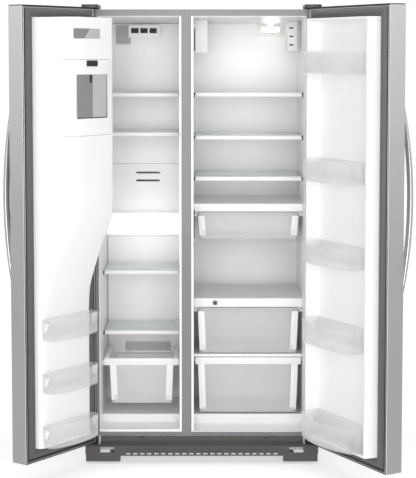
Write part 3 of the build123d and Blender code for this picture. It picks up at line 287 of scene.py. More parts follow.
def carve(obj: Piece, cutter: Piece, way: str) -> None:
    """Combine a piece with a cutter, and take the cutter away.

    Args:
        obj: The piece.
        cutter: The closed solid that works on it.
        way: DIFFERENCE or INTERSECT.
    """
    modify(obj, "BOOLEAN", operation=way, object=cutter, solver="EXACT")
    bpy.data.objects.remove(cutter, do_unlink=True)
    select_only(obj)


def join(name: str, parts: list[Piece]) -> Piece:
    """Join several meshes into one named object."""
    bpy.ops.object.select_all(action="DESELECT")
    for part in parts:
        part.select_set(True)
    bpy.context.view_layer.objects.active = parts[0]
    bpy.ops.object.join()
    parts[0].name = name
    return parts[0]


def copy_by(obj: Piece, move: tuple[float, float, float]) -> Piece:
    """Copy an object with a mesh of its own, moved by millimetres."""
    select_only(obj)
    bpy.ops.object.duplicate(linked=False)
    twin = bpy.context.active_object
    twin.data.transform(Matrix.Translation(Vector(move) * MM))
    return twin


def tray(
    name: str, x: Span, y: Span, z: Span, wall: float, corner: float, taper: float = 0.0
) -> Piece:
    """Make an open-topped box with rounded corners.

    Args:
        name: The object's name.
        x: Ends along X in millimetres.
        y: Ends along Y.
        z: Floor and rim heights.
        wall: Wall thickness.
        corner: Radius of the upright corners.
        taper: How much each side of the floor is drawn in.

    Returns:
        The tray, its edges still sharp.
    """
    obj = block(name, x, y, z)
    bevel(obj, along(Z), corner, 6)
    with editing(obj):
        pick(obj, "FACE", side_at(Z, z[0]))
        middle = Vector((x[0] + x[1], y[0] + y[1], 2 * z[0])) * MM / 2
        shrink = (1 - 2 * taper / (x[1] - x[0]), 1 - 2 * taper / (y[1] - y[0]), 1)
        bpy.ops.transform.resize(value=shrink, center_override=middle)
    bevel(obj, both(on(Z, z[0]), lambda _, direction: abs(direction.z) < 0.1), 5.0, 3)
    with editing(obj):
        pick(obj, "FACE", side_at(Z, z[1]))
        bpy.ops.mesh.inset(thickness=wall * MM)
        depth = z[1] - z[0] - wall
        bpy.ops.mesh.extrude_region_move(TRANSFORM_OT_translate={"value": (0, 0, -depth * MM)})
        middle.z = (z[0] + wall) * MM
        bpy.ops.transform.resize(value=shrink, center_override=middle)
    return obj


def ring(name: str, x: Span, z: Span, y: float, corner: float, steps: tuple[Span, ...]) -> Piece:
    """Make an upright frame whose profile is drawn by insets.

    Args:
        name: The object's name.
        x: Outer ends along X in millimetres.
        z: Outer ends along Z.
        y: The plane that the frame starts on, facing backwards.
        corner: Radius of the outer corners.
        steps: How far in and how far out each step of the profile goes.

    Returns:
        The closed frame.
    """
    bpy.ops.object.select_all(action="DESELECT")
    middle = Vector(((x[0] + x[1]) / 2, y, (z[0] + z[1]) / 2)) * MM
    bpy.ops.mesh.primitive_plane_add(size=1, location=middle, rotation=(-math.pi / 2, 0, 0))
    bpy.context.active_object.scale = ((x[1] - x[0]) * MM, (z[1] - z[0]) * MM, 1)
    obj = settle(name)
    if corner:
        with editing(obj, "VERT"):
            bpy.ops.mesh.select_all(action="SELECT")
            bpy.ops.mesh.bevel(offset=corner * MM, segments=4, affect="VERTICES")
    with editing(obj):
        bpy.ops.mesh.select_all(action="SELECT")
        for inward, outward in steps:
            bpy.ops.mesh.inset(thickness=inward * MM, depth=outward * MM)
        bpy.ops.mesh.delete(type="FACE")
        bpy.ops.mesh.select_mode(type="EDGE")
        bpy.ops.mesh.select_non_manifold()
        bpy.ops.mesh.bridge_edge_loops()
        bpy.ops.mesh.select_all(action="SELECT")
        bpy.ops.mesh.normals_make_consistent(inside=False)
    return obj


def bow(
    obj: Piece, test: Test, axis: int, span: Span, reach: Callable[[float], float], cuts: int
) -> None:
    """Divide a block's long edges and move the stations so that a face bows.

    Args:
        obj: A plain block.
        test: Picks the points that move.
        axis: The axis that the stations lie along.
        span: The block's ends along that axis in millimetres.
        reach: How far a station moves along Y, given its place along the axis.
        cuts: How many stations lie between the ends.
    """
    with editing(obj, "EDGE"):
        pick(obj, "EDGE", along(axis))
        bpy.ops.mesh.subdivide(number_cuts=cuts)
    for k in range(cuts + 2):
        place = span[0] + (span[1] - span[0]) * k / (cuts + 1)
        move = reach(place)
        if abs(move) > 0.01:
            slide(obj, both(test, on(axis, place, 0.5)), (0, move, 0))


# ---------------------------------------------------------------- where pieces belong
class Side(Enum):
    """Which side of the cabinet a door hangs on."""

    LEFT = "freezer_door"
    RIGHT = "fridge_door"


@dataclass(frozen=True)
class Home:
    """The body that a piece rides on, and the way from the modelling space to its rest."""

    body: str
    carry: Matrix

    def finish(self, obj: Piece, look: "Finish", *nodes: str) -> Piece:
        """Carry a modelled piece to its rest, dress it and let it ride.

        Args:
            obj: The finished mesh in the modelling space.
            look: The finish that covers it.
            nodes: CAD nodes that it stands for.

        Returns:
            The same object.
        """
        obj.data.transform(self.carry)
        if self.carry.determinant() < 0:
            obj.data.flip_normals()
        obj.data.materials.clear()
        obj.data.materials.append(look.material())
        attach(obj, self.body)
        if nodes:
            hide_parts(*nodes)
        log.info("%s rides on %s, %d faces", obj.name, self.body, len(obj.data.polygons))
        return obj


def cabinet_home(body: str = "cabinet") -> Home:
    """Home of a piece that is modelled where the cabinet stands."""
    return Home(body, Matrix.Translation((MIDDLE, FRONT, 0)))


def door_home(side: Side, body: str | None = None) -> Home:
    """Home of a piece that is modelled on a closed door.

    Args:
        side: Which door carries it. Both are modelled as a left-hand door whose hinge edge is at X = 0.
        body: The body it rides on, where that isn't the door itself.

    Returns:
        The home, which swings the piece open as the frame rests.
    """
    joint = next(j for j in frame["joints"] if j["child"] == side.value)
    pin = Vector(joint["pos_m"])
    swing = Matrix.Rotation(-math.radians(joint["range_deg"][0]), 4, Vector(joint["axis"]))
    hand = Matrix.Scale(-1.0, 4, (1, 0, 0)) if side is Side.RIGHT else Matrix.Identity(4)
    set_back = Matrix.Translation((-HALF * MM, FRONT, 0))
    placed = Matrix.Translation((MIDDLE, 0, 0)) @ hand @ set_back
    carry = Matrix.Translation(pin) @ swing @ Matrix.Translation(-pin) @ placed
    return Home(body or side.value, carry)


# ---------------------------------------------------------------- finishes
class Board:
    """A material's node tree, with a short call for each kind of node."""

    def __init__(self, name: str) -> None:
        """Start a material with its shader node."""
        self.material = bpy.data.materials.new(name)
        self.material.use_nodes = True
        self.nodes = self.material.node_tree.nodes
        self.links = self.material.node_tree.links
        self.shader = self.nodes["Principled BSDF"]

    def add(
        self, kind: str, inputs: dict[str | int, object] | None = None, **settings: object
    ) -> bpy.types.Node:
        """Add a node, set its options and fill or link its inputs.

        Args:
            kind: The node's type.
            inputs: Plain values or sockets, by input name or number.
            settings: Options of the node itself.

        Returns:
            The new node.
        """
        node = self.nodes.new(kind)
        for key, value in settings.items():
            setattr(node, key, value)
        for key, value in (inputs or {}).items():
            if isinstance(value, bpy.types.NodeSocket):
                self.links.new(value, node.inputs[key])
            else:
                node.inputs[key].default_value = value
        return node

    def coords(self, scale: tuple[float, float, float] = (1, 1, 1)) -> bpy.types.NodeSocket:
        """Object coordinates, stretched on each axis."""
        place = self.add("ShaderNodeTexCoord").outputs["Object"]
        return self.add("ShaderNodeMapping", {"Vector": place, "Scale": scale}).outputs["Vector"]

    def noise(
        self, scale: float, stretch: tuple[float, float, float] = (1, 1, 1), detail: float = 2.0
    ) -> bpy.types.NodeSocket:
        """A noise pattern in object space."""
        inputs = {"Vector": self.coords(stretch), "Scale": scale, "Detail": detail}
        return self.add("ShaderNodeTexNoise", inputs).outputs["Fac"]

    def cells(self, scale: float) -> bpy.types.NodeSocket:
        """A cell pattern in object space."""
        inputs = {"Vector": self.coords(), "Scale": scale}
        return self.add("ShaderNodeTexVoronoi", inputs, feature="F1").outputs["Distance"]

    def remap(self, value: bpy.types.NodeSocket, low: float, high: float) -> bpy.types.NodeSocket:
        """Stretch a 0 to 1 value over a range."""
        inputs = {"Value": value, "To Min": low, "To Max": high}
        return self.add("ShaderNodeMapRange", inputs).outputs["Result"]

    def blend(
        self, fac: bpy.types.NodeSocket, first: tuple[float, ...], second: tuple[float, ...]
    ) -> bpy.types.NodeSocket:
        """Mix two colours by a pattern."""
        node = self.add("ShaderNodeMix", {"Factor": fac}, data_type="RGBA")
        node.inputs["A"].default_value = (*first, 1.0)
        node.inputs["B"].default_value = (*second, 1.0)
        return node.outputs["Result"]

    def link(self, name: str, socket: bpy.types.NodeSocket) -> None:
        """Link a pattern to one of the shader's inputs."""
        self.links.new(socket, self.shader.inputs[name])

    def bump(self, height: bpy.types.NodeSocket, strength: float, distance: float) -> None:
        """Give the shader a fine relief from a height pattern."""
        inputs = {"Height": height, "Strength": strength, "Distance": distance}
        self.link("Normal", self.add("ShaderNodeBump", inputs).outputs["Normal"])


@dataclass(frozen=True)
class Finish:
    """A surface finish that can dress any piece."""

    slot: str
    colour: tuple[float, float, float]
    roughness: float = 0.4
    metallic: float = 0.0

    def material(self) -> bpy.types.Material:
        """The finish's material, made once and then shared."""
        name = f"{type(self).__name__}_{self.slot}_{abs(hash((self.colour, self.roughness))) % 9973}"
        found = bpy.data.materials.get(name)
        if found:
            return found
        board = Board(name)
        board.shader.inputs["Base Color"].default_value = (*self.colour, 1.0)
        board.shader.inputs["Roughness"].default_value = self.roughness
        board.shader.inputs["Metallic"].default_value = self.metallic
        self.texture(board)
        return board.material

    def shade(self, share: float) -> tuple[float, float, float]:
        """The finish's colour, darkened or lightened by a share."""
        return tuple(min(1.0, part * share) for part in self.colour)

    def texture(self, board: Board) -> None:
        """Add the pattern of this kind of surface."""
        grain = board.noise(700.0)
        board.link("Base Color", board.blend(grain, self.shade(0.97), self.shade(1.03)))
        board.bump(grain, 0.1, 0.0002)


@dataclass(frozen=True)
class BrushedSteel(Finish):
    """Stainless sheet with an upright brushed grain."""

    def texture(self, board: Board) -> None:
        """Add long fine streaks to colour, gloss and relief."""
        streaks = board.noise(1.0, (1500.0, 1500.0, 9.0), 3.0)
        cloud = board.noise(3.0)
        board.link("Base Color", board.blend(streaks, self.shade(0.9), self.shade(1.08)))
        board.link("Roughness", board.remap(cloud, self.roughness - 0.05, self.roughness + 0.08))
        board.shader.inputs["Anisotropic"].default_value = 0.55
        board.bump(streaks, 0.06, 0.0002)


@dataclass(frozen=True)
class PaintedSteel(Finish):
    """Sprayed sheet steel with a faint orange-peel skin."""

    def texture(self, board: Board) -> None:
        """Add the sprayed skin and a slow change of tone."""
        peel = board.noise(420.0, detail=1.0)
        cloud = board.noise(2.5)
        board.link("Base Color", board.blend(cloud, self.shade(0.95), self.shade(1.05)))
        board.link("Roughness", board.remap(peel, self.roughness - 0.04, self.roughness + 0.06))
        board.shader.inputs["Coat Weight"].default_value = 0.15
        board.bump(peel, 0.12, 0.0003)


@dataclass(frozen=True)
class ZincSteel(Finish):
    """Galvanised sheet with its crystal spangle."""

    def texture(self, board: Board) -> None:
        """Add flat crystals of slightly different brightness."""
        cells = board.add("ShaderNodeTexVoronoi", {"Vector": board.coords(), "Scale": 95.0})
        tone = board.add(
            "ShaderNodeSeparateColor", {"Color": cells.outputs["Color"]}
        ).outputs["Red"]
        board.link("Base Color", board.blend(tone, self.shade(0.8), self.shade(1.15)))
        board.link("Roughness", board.remap(tone, self.roughness - 0.1, self.roughness + 0.1))


@dataclass(frozen=True)
class MouldedPlastic(Finish):
    """Vacuum-formed or moulded plastic with a smooth, slightly uneven skin."""

    grain: float = 900.0

    def texture(self, board: Board) -> None:
        """Add a fine mould grain and a slow unevenness of the gloss."""
        fine = board.noise(self.grain, detail=1.0)
        slow = board.noise(7.0, detail=1.0)
        board.link("Base Color", board.blend(slow, self.shade(0.975), self.shade(1.015)))
        board.link("Roughness", board.remap(slow, self.roughness - 0.05, self.roughness + 0.07))
        board.bump(fine, 0.05, 0.0002)


@dataclass(frozen=True)
class GrainedPlastic(Finish):
    """Dark moulded plastic with a spark-eroded grain."""

    def texture(self, board: Board) -> None:
        """Add small pits and a little dust-grey variation."""
        pits = board.cells(1400.0)
        slow = board.noise(12.0)
        board.link("Base Color", board.blend(slow, self.shade(0.85), self.shade(1.2)))
        board.bump(pits, 0.25, 0.0002)


@dataclass(frozen=True)
class Rubber(Finish):
    """Soft vinyl seal, matt with a fine relief."""

    def texture(self, board: Board) -> None:
        """Add a fine relief and worn lighter patches."""
        worn = board.noise(40.0, detail=4.0)
        board.link("Base Color", board.blend(worn, self.shade(0.86), self.shade(1.14)))
        board.shader.inputs["Sheen Weight"].default_value = 0.15
        board.bump(board.noise(600.0), 0.15, 0.0003)


@dataclass(frozen=True)
class SeeThrough(Finish):
    """Clear or frosted moulding whose edges and slanted walls look denser."""

    face_on: float = 0.2
    edge_on: float = 0.8

    def texture(self, board: Board) -> None:
        """Let light through face-on and less so edge-on."""
        facing = board.add("ShaderNodeLayerWeight", {"Blend": 0.35}).outputs["Facing"]
        board.link("Alpha", board.remap(facing, self.face_on, self.edge_on))
        flow = board.noise(9.0, detail=1.0)
        board.link("Base Color", board.blend(flow, self.shade(0.96), self.shade(1.02)))
        board.shader.inputs["Specular IOR Level"].default_value = 0.6
        board.bump(flow, 0.1, 0.002)


@dataclass(frozen=True)
class Glow(Finish):
    """Milky lens lit by the lamp behind it."""

    strength: float = 1.0

    def texture(self, board: Board) -> None:
        """Add a soft cloudy unevenness to the colour and the glow's strength."""
        cloud = board.noise(6.0)
        board.link("Base Color", board.blend(cloud, self.shade(0.95), self.shade(1.0)))
        board.shader.inputs["Emission Color"].default_value = (*self.colour, 1.0)
        board.link("Emission Strength", board.remap(cloud, 0.75 * self.strength, self.strength))


@dataclass(frozen=True)
class Foam(Finish):
    """Blown foam with open cells."""

    def texture(self, board: Board) -> None:
        """Add the cells."""
        cells = board.cells(260.0)
        board.link("Base Color", board.blend(cells, self.shade(0.75), self.shade(1.1)))
        board.bump(cells, 0.5, 0.001)


STAINLESS = BrushedSteel("stainless", (0.56, 0.56, 0.555), 0.27, 1.0)
CABINET_PAINT = PaintedSteel("grey_steel", (0.2, 0.2, 0.2), 0.4)
ZINC = ZincSteel("zinc_steel", (0.52, 0.53, 0.54), 0.42, 0.85)
LINER = MouldedPlastic("white_liner", (0.88, 0.885, 0.885), 0.3)
WHITE = MouldedPlastic("white_plastic", (0.86, 0.865, 0.865), 0.38, grain=1500.0)
# Dark and pale copies of one pane finish: painted shade and painted light on the ice windows.
SHADE_PAINTED_PANE = MouldedPlastic("frosted_clear", (0.23, 0.235, 0.24), 0.2)
LIGHT_PAINTED_PANE = MouldedPlastic("frosted_clear", (0.47, 0.475, 0.48), 0.2)
CLEAR = SeeThrough("clear_plastic", (0.78, 0.79, 0.79), 0.06, face_on=0.035, edge_on=0.62)
FROSTED = SeeThrough("frosted_clear", (0.9, 0.905, 0.905), 0.25, face_on=0.3, edge_on=0.85)
PLATE_GLASS = SeeThrough("shelf_glass", (0.8, 0.85, 0.845), 0.03, face_on=0.06, edge_on=0.8)
SEAL = Rubber("grey_rubber", (0.085, 0.085, 0.088), 0.5)
DARK = GrainedPlastic("dark_plastic", (0.055, 0.055, 0.055), 0.5)
KICK = GrainedPlastic("dark_plastic", (0.06, 0.057, 0.053), 0.45)
BLACK = GrainedPlastic("dark_plastic", (0.012, 0.012, 0.012), 0.45)
BLACK_SHEET = PaintedSteel("black_steel", (0.02, 0.02, 0.02), 0.4)
ENAMEL = PaintedSteel("black_enamel", (0.02, 0.02, 0.021), 0.3)
GLOSS = MouldedPlastic("dark_gloss", (0.03, 0.03, 0.033), 0.12)
COIL = BrushedSteel("coil_metal", (0.7, 0.7, 0.71), 0.35, 1.0)
LENS = Glow("clear_plastic", (0.97, 0.98, 0.97), 0.3, strength=0.3)
LAMP = Glow("lamp_glass", (1.0, 0.97, 0.9), 0.2, strength=6.0)
CORE = Foam("foam", (0.78, 0.7, 0.45), 0.9)


# ---------------------------------------------------------------- carried-over CAD nodes
@dataclass(frozen=True)
class FrameDress:
    """Finishes of the CAD nodes that stay in sight."""

    sheet: tuple[str, ...] = ("outer_wrapper", "centre_mullion", "front_bottom_rail")
    stainless: tuple[str, ...] = ("freezer_door_skin", "fridge_door_skin")
    zinc: tuple[str, ...] = ("rear_panel", "rear_machine_cover", "base_pan", "fan_motors")
    moulded: tuple[str, ...] = (
        "freezer_liner",
        "fridge_liner",
        "fridge_door_liner",
        "evaporator_cover",
        "freezer_duct_cover",
    )
    white: tuple[str, ...] = ("deli_cover", "crisper_cover", "crisper_frame")
    dark: tuple[str, ...] = (
        "freezer_door_caps",
        "fridge_door_caps",
        "power_inlet",
        "drain_pan",
        "condenser_fan_blade",
        "evaporator_fan_blade",
        "ice_paddle",
        "water_paddle",
        "levelling_feet",
        "dispenser_housing",
    )
    grey: tuple[str, ...] = ("front_rollers", "rear_rollers", "water_valve")
    black_sheet: tuple[str, ...] = ("top_hinges", "bottom_hinges")
    coils: tuple[str, ...] = ("condenser_coil", "evaporator_coil")
    foam: tuple[str, ...] = ("cabinet_foam", "freezer_door_foam", "fridge_door_foam")

    def dress(self) -> None:
        """Give every CAD node its finish."""
        looks = (
            (self.sheet, CABINET_PAINT),
            (self.stainless, STAINLESS),
            (self.zinc, ZINC),
            (self.moulded, LINER),
            (self.white, WHITE),
            (self.dark, DARK),
            (self.grey, SEAL),
            (self.black_sheet, BLACK_SHEET),
            (self.coils, COIL),
            (self.foam, CORE),
            (("base_grille",), KICK),
            (("compressor",), ENAMEL),
            (("lamps",), LAMP),
            (("humidity_slider",), DARK),
        )
        for names, look in looks:
            for name in names:
                self.cover(name, look)
        for name, node in frame["nodes"].items():
            if not any(name in names for names, _ in looks):
                self.cover(name, WHITE)
            log.info("CAD node %s is dressed in %s", name, node.data.materials[0].name)

    @staticmethod
    def cover(name: str, look: Finish) -> None:
        """Put one finish on all of a CAD node's material slots."""
        node = frame["nodes"][name]
        if not node.data.materials:
            node.data.materials.append(look.material())
        for index in range(len(node.data.materials)):
            node.data.materials[index] = look.material()


# ---------------------------------------------------------------- doors
@dataclass(frozen=True)
class DoorSeal:
    """Magnetic seal of one door, with the folded steel edge and the strip that hold it."""

    side: Side
    width: float
    low: float = 106.0
    high: float = 1757.0
    hinge_gap: float = 20.0
    free_gap: float = 12.0
    rear: float = -13.0
    door_low: float = 89.0
    door_high: float = 1763.0
    fold: float = 10.5
    dark_line: float = 4.0
    bellows: tuple[Span, ...] = (
        (0.8, 3.0),
        (2.2, -1.2),
        (1.6, 5.4),
        (2.4, 4.6),
        (13.0, 0.4),
        (2.4, -2.6),
        (3.6, -3.4),
        (3.4, 1.8),
        (3.2, -3.6),
        (1.4, -4.4),
    )

    def build(self) -> None:
        """Model the bellows ring, the folded edge and the holding strip."""
        home = door_home(self.side)
        name = self.side.value
        across = (self.hinge_gap, self.width - self.free_gap)
        soft = ring(f"{name}_seal", across, (self.low, self.high), self.rear, 0.0, self.bellows)
        soften(soft, 0.5, 2, 25.0)
        home.finish(soft, SEAL, f"{name}_gasket")
        edge = ring(
            f"{name}_dark_edge",
            (0.0, self.width),
            (self.door_low, self.door_high),
            self.rear,
            0.0,
            ((0.4, 0.4), (self.dark_line, 0.0), (0.3, -0.3)),
        )
        home.finish(edge, BLACK)
        fold = ring(
            f"{name}_folded_edge",
            (self.dark_line, self.width - self.dark_line),
            (self.door_low + self.dark_line, self.door_high - self.dark_line),
            self.rear,
            0.0,
            ((0.6, 0.8), (self.fold - self.dark_line - 4.2, 0.0), (0.6, -0.8)),
        )
        home.finish(fold, STAINLESS)
        strip = ring(
            f"{name}_seal_strip",
            (self.fold - 3.4, self.width - self.fold + 3.4),
            (self.door_low + self.fold - 3.4, self.door_high - self.fold + 3.4),
            self.rear,
            0.0,
            ((0.3, 0.3), (self.hinge_gap - self.fold + 6.0, 0.0), (0.3, -0.3)),
        )
        home.finish(strip, BLACK)


@dataclass(frozen=True)
class Handle:
    """Bowed upright bar of one door."""

    side: Side
    width: float
    low: float = 650.0
    high: float = 1480.0
    face: float = -87.0
    proud: float = 63.0
    bar: float = 15.0
    foot: float = 34.0
    across: float = 24.0
    from_free: float = 45.0
    cuts: int = 31

    def arc(self, z: float, low: float, high: float, rise: float) -> float:
        """How far a circular arc over a chord stands off at a height."""
        half = (high - low) / 2
        if abs(z - (low + high) / 2) >= half:
            return 0.0
        radius = (half**2 + rise**2) / (2 * rise)
        return math.sqrt(radius**2 - (z - (low + high) / 2) ** 2) - (radius - rise)

    def build(self) -> None:
        """Model the crescent bar with rounded edges and its two mounting collars."""
        home = door_home(self.side)
        name = self.side.value
        middle = self.width - self.from_free
        x = (middle - self.across / 2, middle + self.across / 2)
        near, far = self.face - 0.6, self.face
        bar = block(f"{name}_bar", x, (near, far), (self.low, self.high))
        with editing(bar, "EDGE"):
            pick(bar, "EDGE", along(Z))
            bpy.ops.mesh.subdivide(number_cuts=self.cuts)
        for k in range(self.cuts + 2):
            z = self.low + (self.high - self.low) * k / (self.cuts + 1)
            outer = self.arc(z, self.low, self.high, self.proud - 0.6)
            inner = self.arc(z, self.low + self.foot, self.high - self.foot, self.proud - self.bar)
            slide(bar, both(on(Y, near), on(Z, z, 0.5)), (0, -outer, 0))
            if inner > 0.5:
                slide(bar, both(on(Y, far), on(Z, z, 0.5)), (0, -inner, 0))
        bevel(bar, both(lambda _, d: abs(d.z) > 0.6, lambda c, _: c.y < self.face - 9.0), 4.5, 4)
        smooth(bar, 50.0)
        home.finish(bar, STAINLESS, f"{name}_handle")


@dataclass(frozen=True)
class DoorBin:
    """Clear bin with a bowed front, a thick rim and dark-edged hanging ends."""

    low: float
    high: float
    u: Span
    reach: Span
    crown: float
    rear: float = -13.0
    wall: float = 2.5
    corner: float = 18.0

    def build(self, name: str) -> Piece:
        """Model the bin from a block.

        Args:
            name: The mesh's name.

        Returns:
            The bin as one mesh in the closed door's space.
        """
        front = self.rear + self.reach[1]
        middle, half = sum(self.u) / 2, (self.u[1] - self.u[0]) / 2
        z = (self.low, self.high)
        bin_ = block(name, self.u, (self.rear + self.reach[0], front), z)
        bow(
            bin_,
            on(Y, front),
            X,
            self.u,
            lambda place: self.crown * (1 - ((place - middle) / half) ** 2),
            13,
        )
        ends = lambda c, _: abs(abs(c.x - middle) - half) < 0.3 and abs(c.y - front) < 1.0
        bevel(bin_, both(along(Z), ends), self.corner, 6)
        cut(bin_, Z, self.high - 9.0)
        cut(bin_, Z, self.high - 26.0)
        with editing(bin_):
            pick(
                bin_,
                "FACE",
                both(
                    between(Z, self.high - 9.0, self.high),
                    lambda _, d: abs(d.z) < 0.2 and d.y > -0.5,
                ),
            )
            bpy.ops.mesh.extrude_region_shrink_fatten(
                TRANSFORM_OT_shrink_fatten={"value": 1.3 * MM}
            )
        with editing(bin_):
            pick(bin_, "FACE", side_at(Z, self.high))
            bpy.ops.mesh.inset(thickness=self.wall * MM)
            drop = self.high - self.low - self.wall
            bpy.ops.mesh.extrude_region_move(TRANSFORM_OT_translate={"value": (0, 0, -drop * MM)})
        soften(bin_, 0.6, 2, 50.0)
        return bin_


@dataclass(frozen=True)
class DoorBins:
    """All the bins of one door, with the white lugs that carry them."""

    side: Side
    heights: tuple[Span, ...]
    u: Span
    reach: Span
    crown: float
    lug: float = 7.0
    rear: float = -13.0

    def build(self) -> None:
        """Model each bin and its pair of lugs."""
        home = door_home(self.side)
        name = self.side.value
        bins, lugs = [], []
        for k, (low, high) in enumerate(self.heights):
            bins.append(DoorBin(low, high, self.u, self.reach, self.crown).build(f"bin{k}"))
            for end, out in ((self.u[0], -1), (self.u[1], 1)):
                lugs.append(self.make_lug(end, out, high))
        home.finish(join(f"{name}_clear_bins", bins), CLEAR, f"{name}_bins")
        home.finish(join(f"{name}_bin_lugs", lugs), WHITE)

    def make_lug(self, end: float, out: int, high: float) -> Piece:
        """Model one tapered lug beside a bin's end."""
        x = tuple(sorted((end + out * 1.4, end + out * self.lug)))
        y = (self.rear + self.reach[0] + 6.0, self.rear + self.reach[0] + 34.0)
        lug = block("lug", x, y, (high - 46.0, high - 12.0))
        slide(lug, both(on(Z, high - 46.0), on(Y, y[1])), (0, -14.0, 0))
        soften(lug, 1.6, 3)
        return lug


@dataclass(frozen=True)
class Bulge:
    """Moulded ice and chute bulge of the freezer door, on its flat lining."""

    u: Span = (56.0, 346.0)
    z: Span = (141.0, 1722.0)
    rear: float = -13.0
    depth: float = 168.0
    collar: float = 14.0
    collar_u: Span = (62.0, 342.0)
    lean: tuple[float, float] = (23.0, -42.0)
    profile: tuple[Span, ...] = (
        (636.0, 30.0),
        (672.0, 32.0),
        (706.0, 36.0),
        (734.0, 43.5),
        (763.0, 55.0),
        (795.0, 68.0),
        (827.0, 82.0),
        (870.0, 102.0),
        (912.0, 122.0),
        (948.0, 141.0),
        (985.0, 158.0),
        (1012.0, 165.5),
        (1040.0, 168.0),
    )
    round_free: float = 34.0
    round_hinge: float = 16.0
    pocket_u: float = 100.0
    pocket_z: Span = (1295.0, 1569.0)
    pocket_depth: float = 118.0
    groove: float = 1.1
    groove_round: float = 11.0

    def shape(self, name: str) -> Piece:
        """Model the bulge as one closed solid.

        Args:
            name: The mesh's name.

        Returns:
            The solid, with its soft upright edges.
        """
        front = self.rear + self.depth
        body = block(name, self.u, (self.rear - 1.0, front), self.z)
        for z, _ in self.profile:
            cut(body, Z, z)
        collar = self.rear + self.collar
        cut(body, Y, collar)
        slide(body, both(on(Y, collar), on(X, self.u[0])), (self.collar_u[0] - self.u[0], 0, 0))
        slide(body, both(on(Y, collar), on(X, self.u[1])), (self.collar_u[1] - self.u[1], 0, 0))
        first = self.profile[0][1] - self.depth
        slide(body, both(on(Y, front), on(Z, self.z[0])), (0, first, 0))
        for z, depth in self.profile[:-1]:
            slide(body, both(on(Y, front), on(Z, z)), (0, depth - self.depth, 0))
        for end, lean in zip(self.u, self.lean):
            for z, depth in (
                (self.z[0], self.profile[0][1]),
                *self.profile,
                (self.z[1], self.depth),
            ):
                ahead = both(
                    on(X, end), both(on(Z, z), lambda c, _: c.y > self.rear + self.collar + 1.0)
                )
                share = (depth - self.collar) / (self.depth - self.collar)
                step = self.collar_u[0] - self.u[0] if lean > 0 else self.collar_u[1] - self.u[1]
                slide(body, ahead, (step + lean * share, 0, 0))
        free = lambda c, _: c.x > 250.0 and c.y > self.rear + self.collar + 6.0
        hinge = lambda c, _: c.x < 120.0 and c.y > self.rear + self.collar + 6.0
        upright = lambda _, d: abs(d.z) > 0.4
        bevel(body, both(upright, free), self.round_free, 8)
        bevel(body, both(upright, hinge), self.round_hinge, 6)
        with editing(body):
            bpy.ops.mesh.select_all(action="SELECT")
            bpy.ops.mesh.remove_doubles(threshold=0.01 * MM)
            bpy.ops.mesh.normals_make_consistent(inside=False)
        return body

    def pocket(self, grow: float) -> Piece:
        """Model the cutter for the ice bin's place."""
        z = (self.pocket_z[0] - grow, self.pocket_z[1] + grow)
        cutter = block(
            "pocket",
            (self.pocket_u - grow, 420.0),
            (self.rear + self.pocket_depth - grow, 220.0),
            z,
        )
        near = lambda c, _: c.x < self.pocket_u + 5.0
        bevel(cutter, both(along(Y), near), self.groove_round, 6)
        return cutter

    def build(self) -> None:
        """Model the lining with the bulge, with the pocket that the ice bin fills."""
        lining = block("lining", (0.0, 394.7), (self.rear - 2.0, self.rear), (89.0, 1763.0))
        inset(lining, side_at(Y, self.rear), ((5.0, 0.0),))
        carve(lining, self.opening(), "DIFFERENCE")
        shell = self.shape("bulge")
        inset(shell, side_at(Y, self.rear - 1.0), ((12.0, 0.0), (1.0, -17.0)))
        carve(shell, self.pocket(self.groove), "DIFFERENCE")
        soften(shell, 1.6, 3, 28.0)
        smooth(shell, 35.0)
        door_home(Side.LEFT).finish(
            join("freezer_door_moulding", [lining, shell]), LINER, "freezer_door_liner"
        )

    def opening(self) -> Piece:
        """Model the cutter that frees the rear of the dispenser."""
        return block("opening", (94.0, 300.0), (self.rear - 8.0, self.rear + 16.0), (939.0, 1393.0))

    def make_bin(self) -> Piece:
        """Model the hollow ice bin that fills the pocket."""
        bin_ = self.shape("ice_bin_moulding")
        carve(bin_, self.pocket(0.0), "INTERSECT")
        soften(bin_, 1.6, 3, 28.0)
        z = (self.pocket_z[0] + 4.0, self.pocket_z[1] + 20.0)
        carve(
            bin_,
            block(
                "hollow",
                (self.pocket_u + 5.0, 292.0),
                (self.rear + self.pocket_depth + 4.0, 142.0),
                z,
            ),
            "DIFFERENCE",
        )
        return bin_


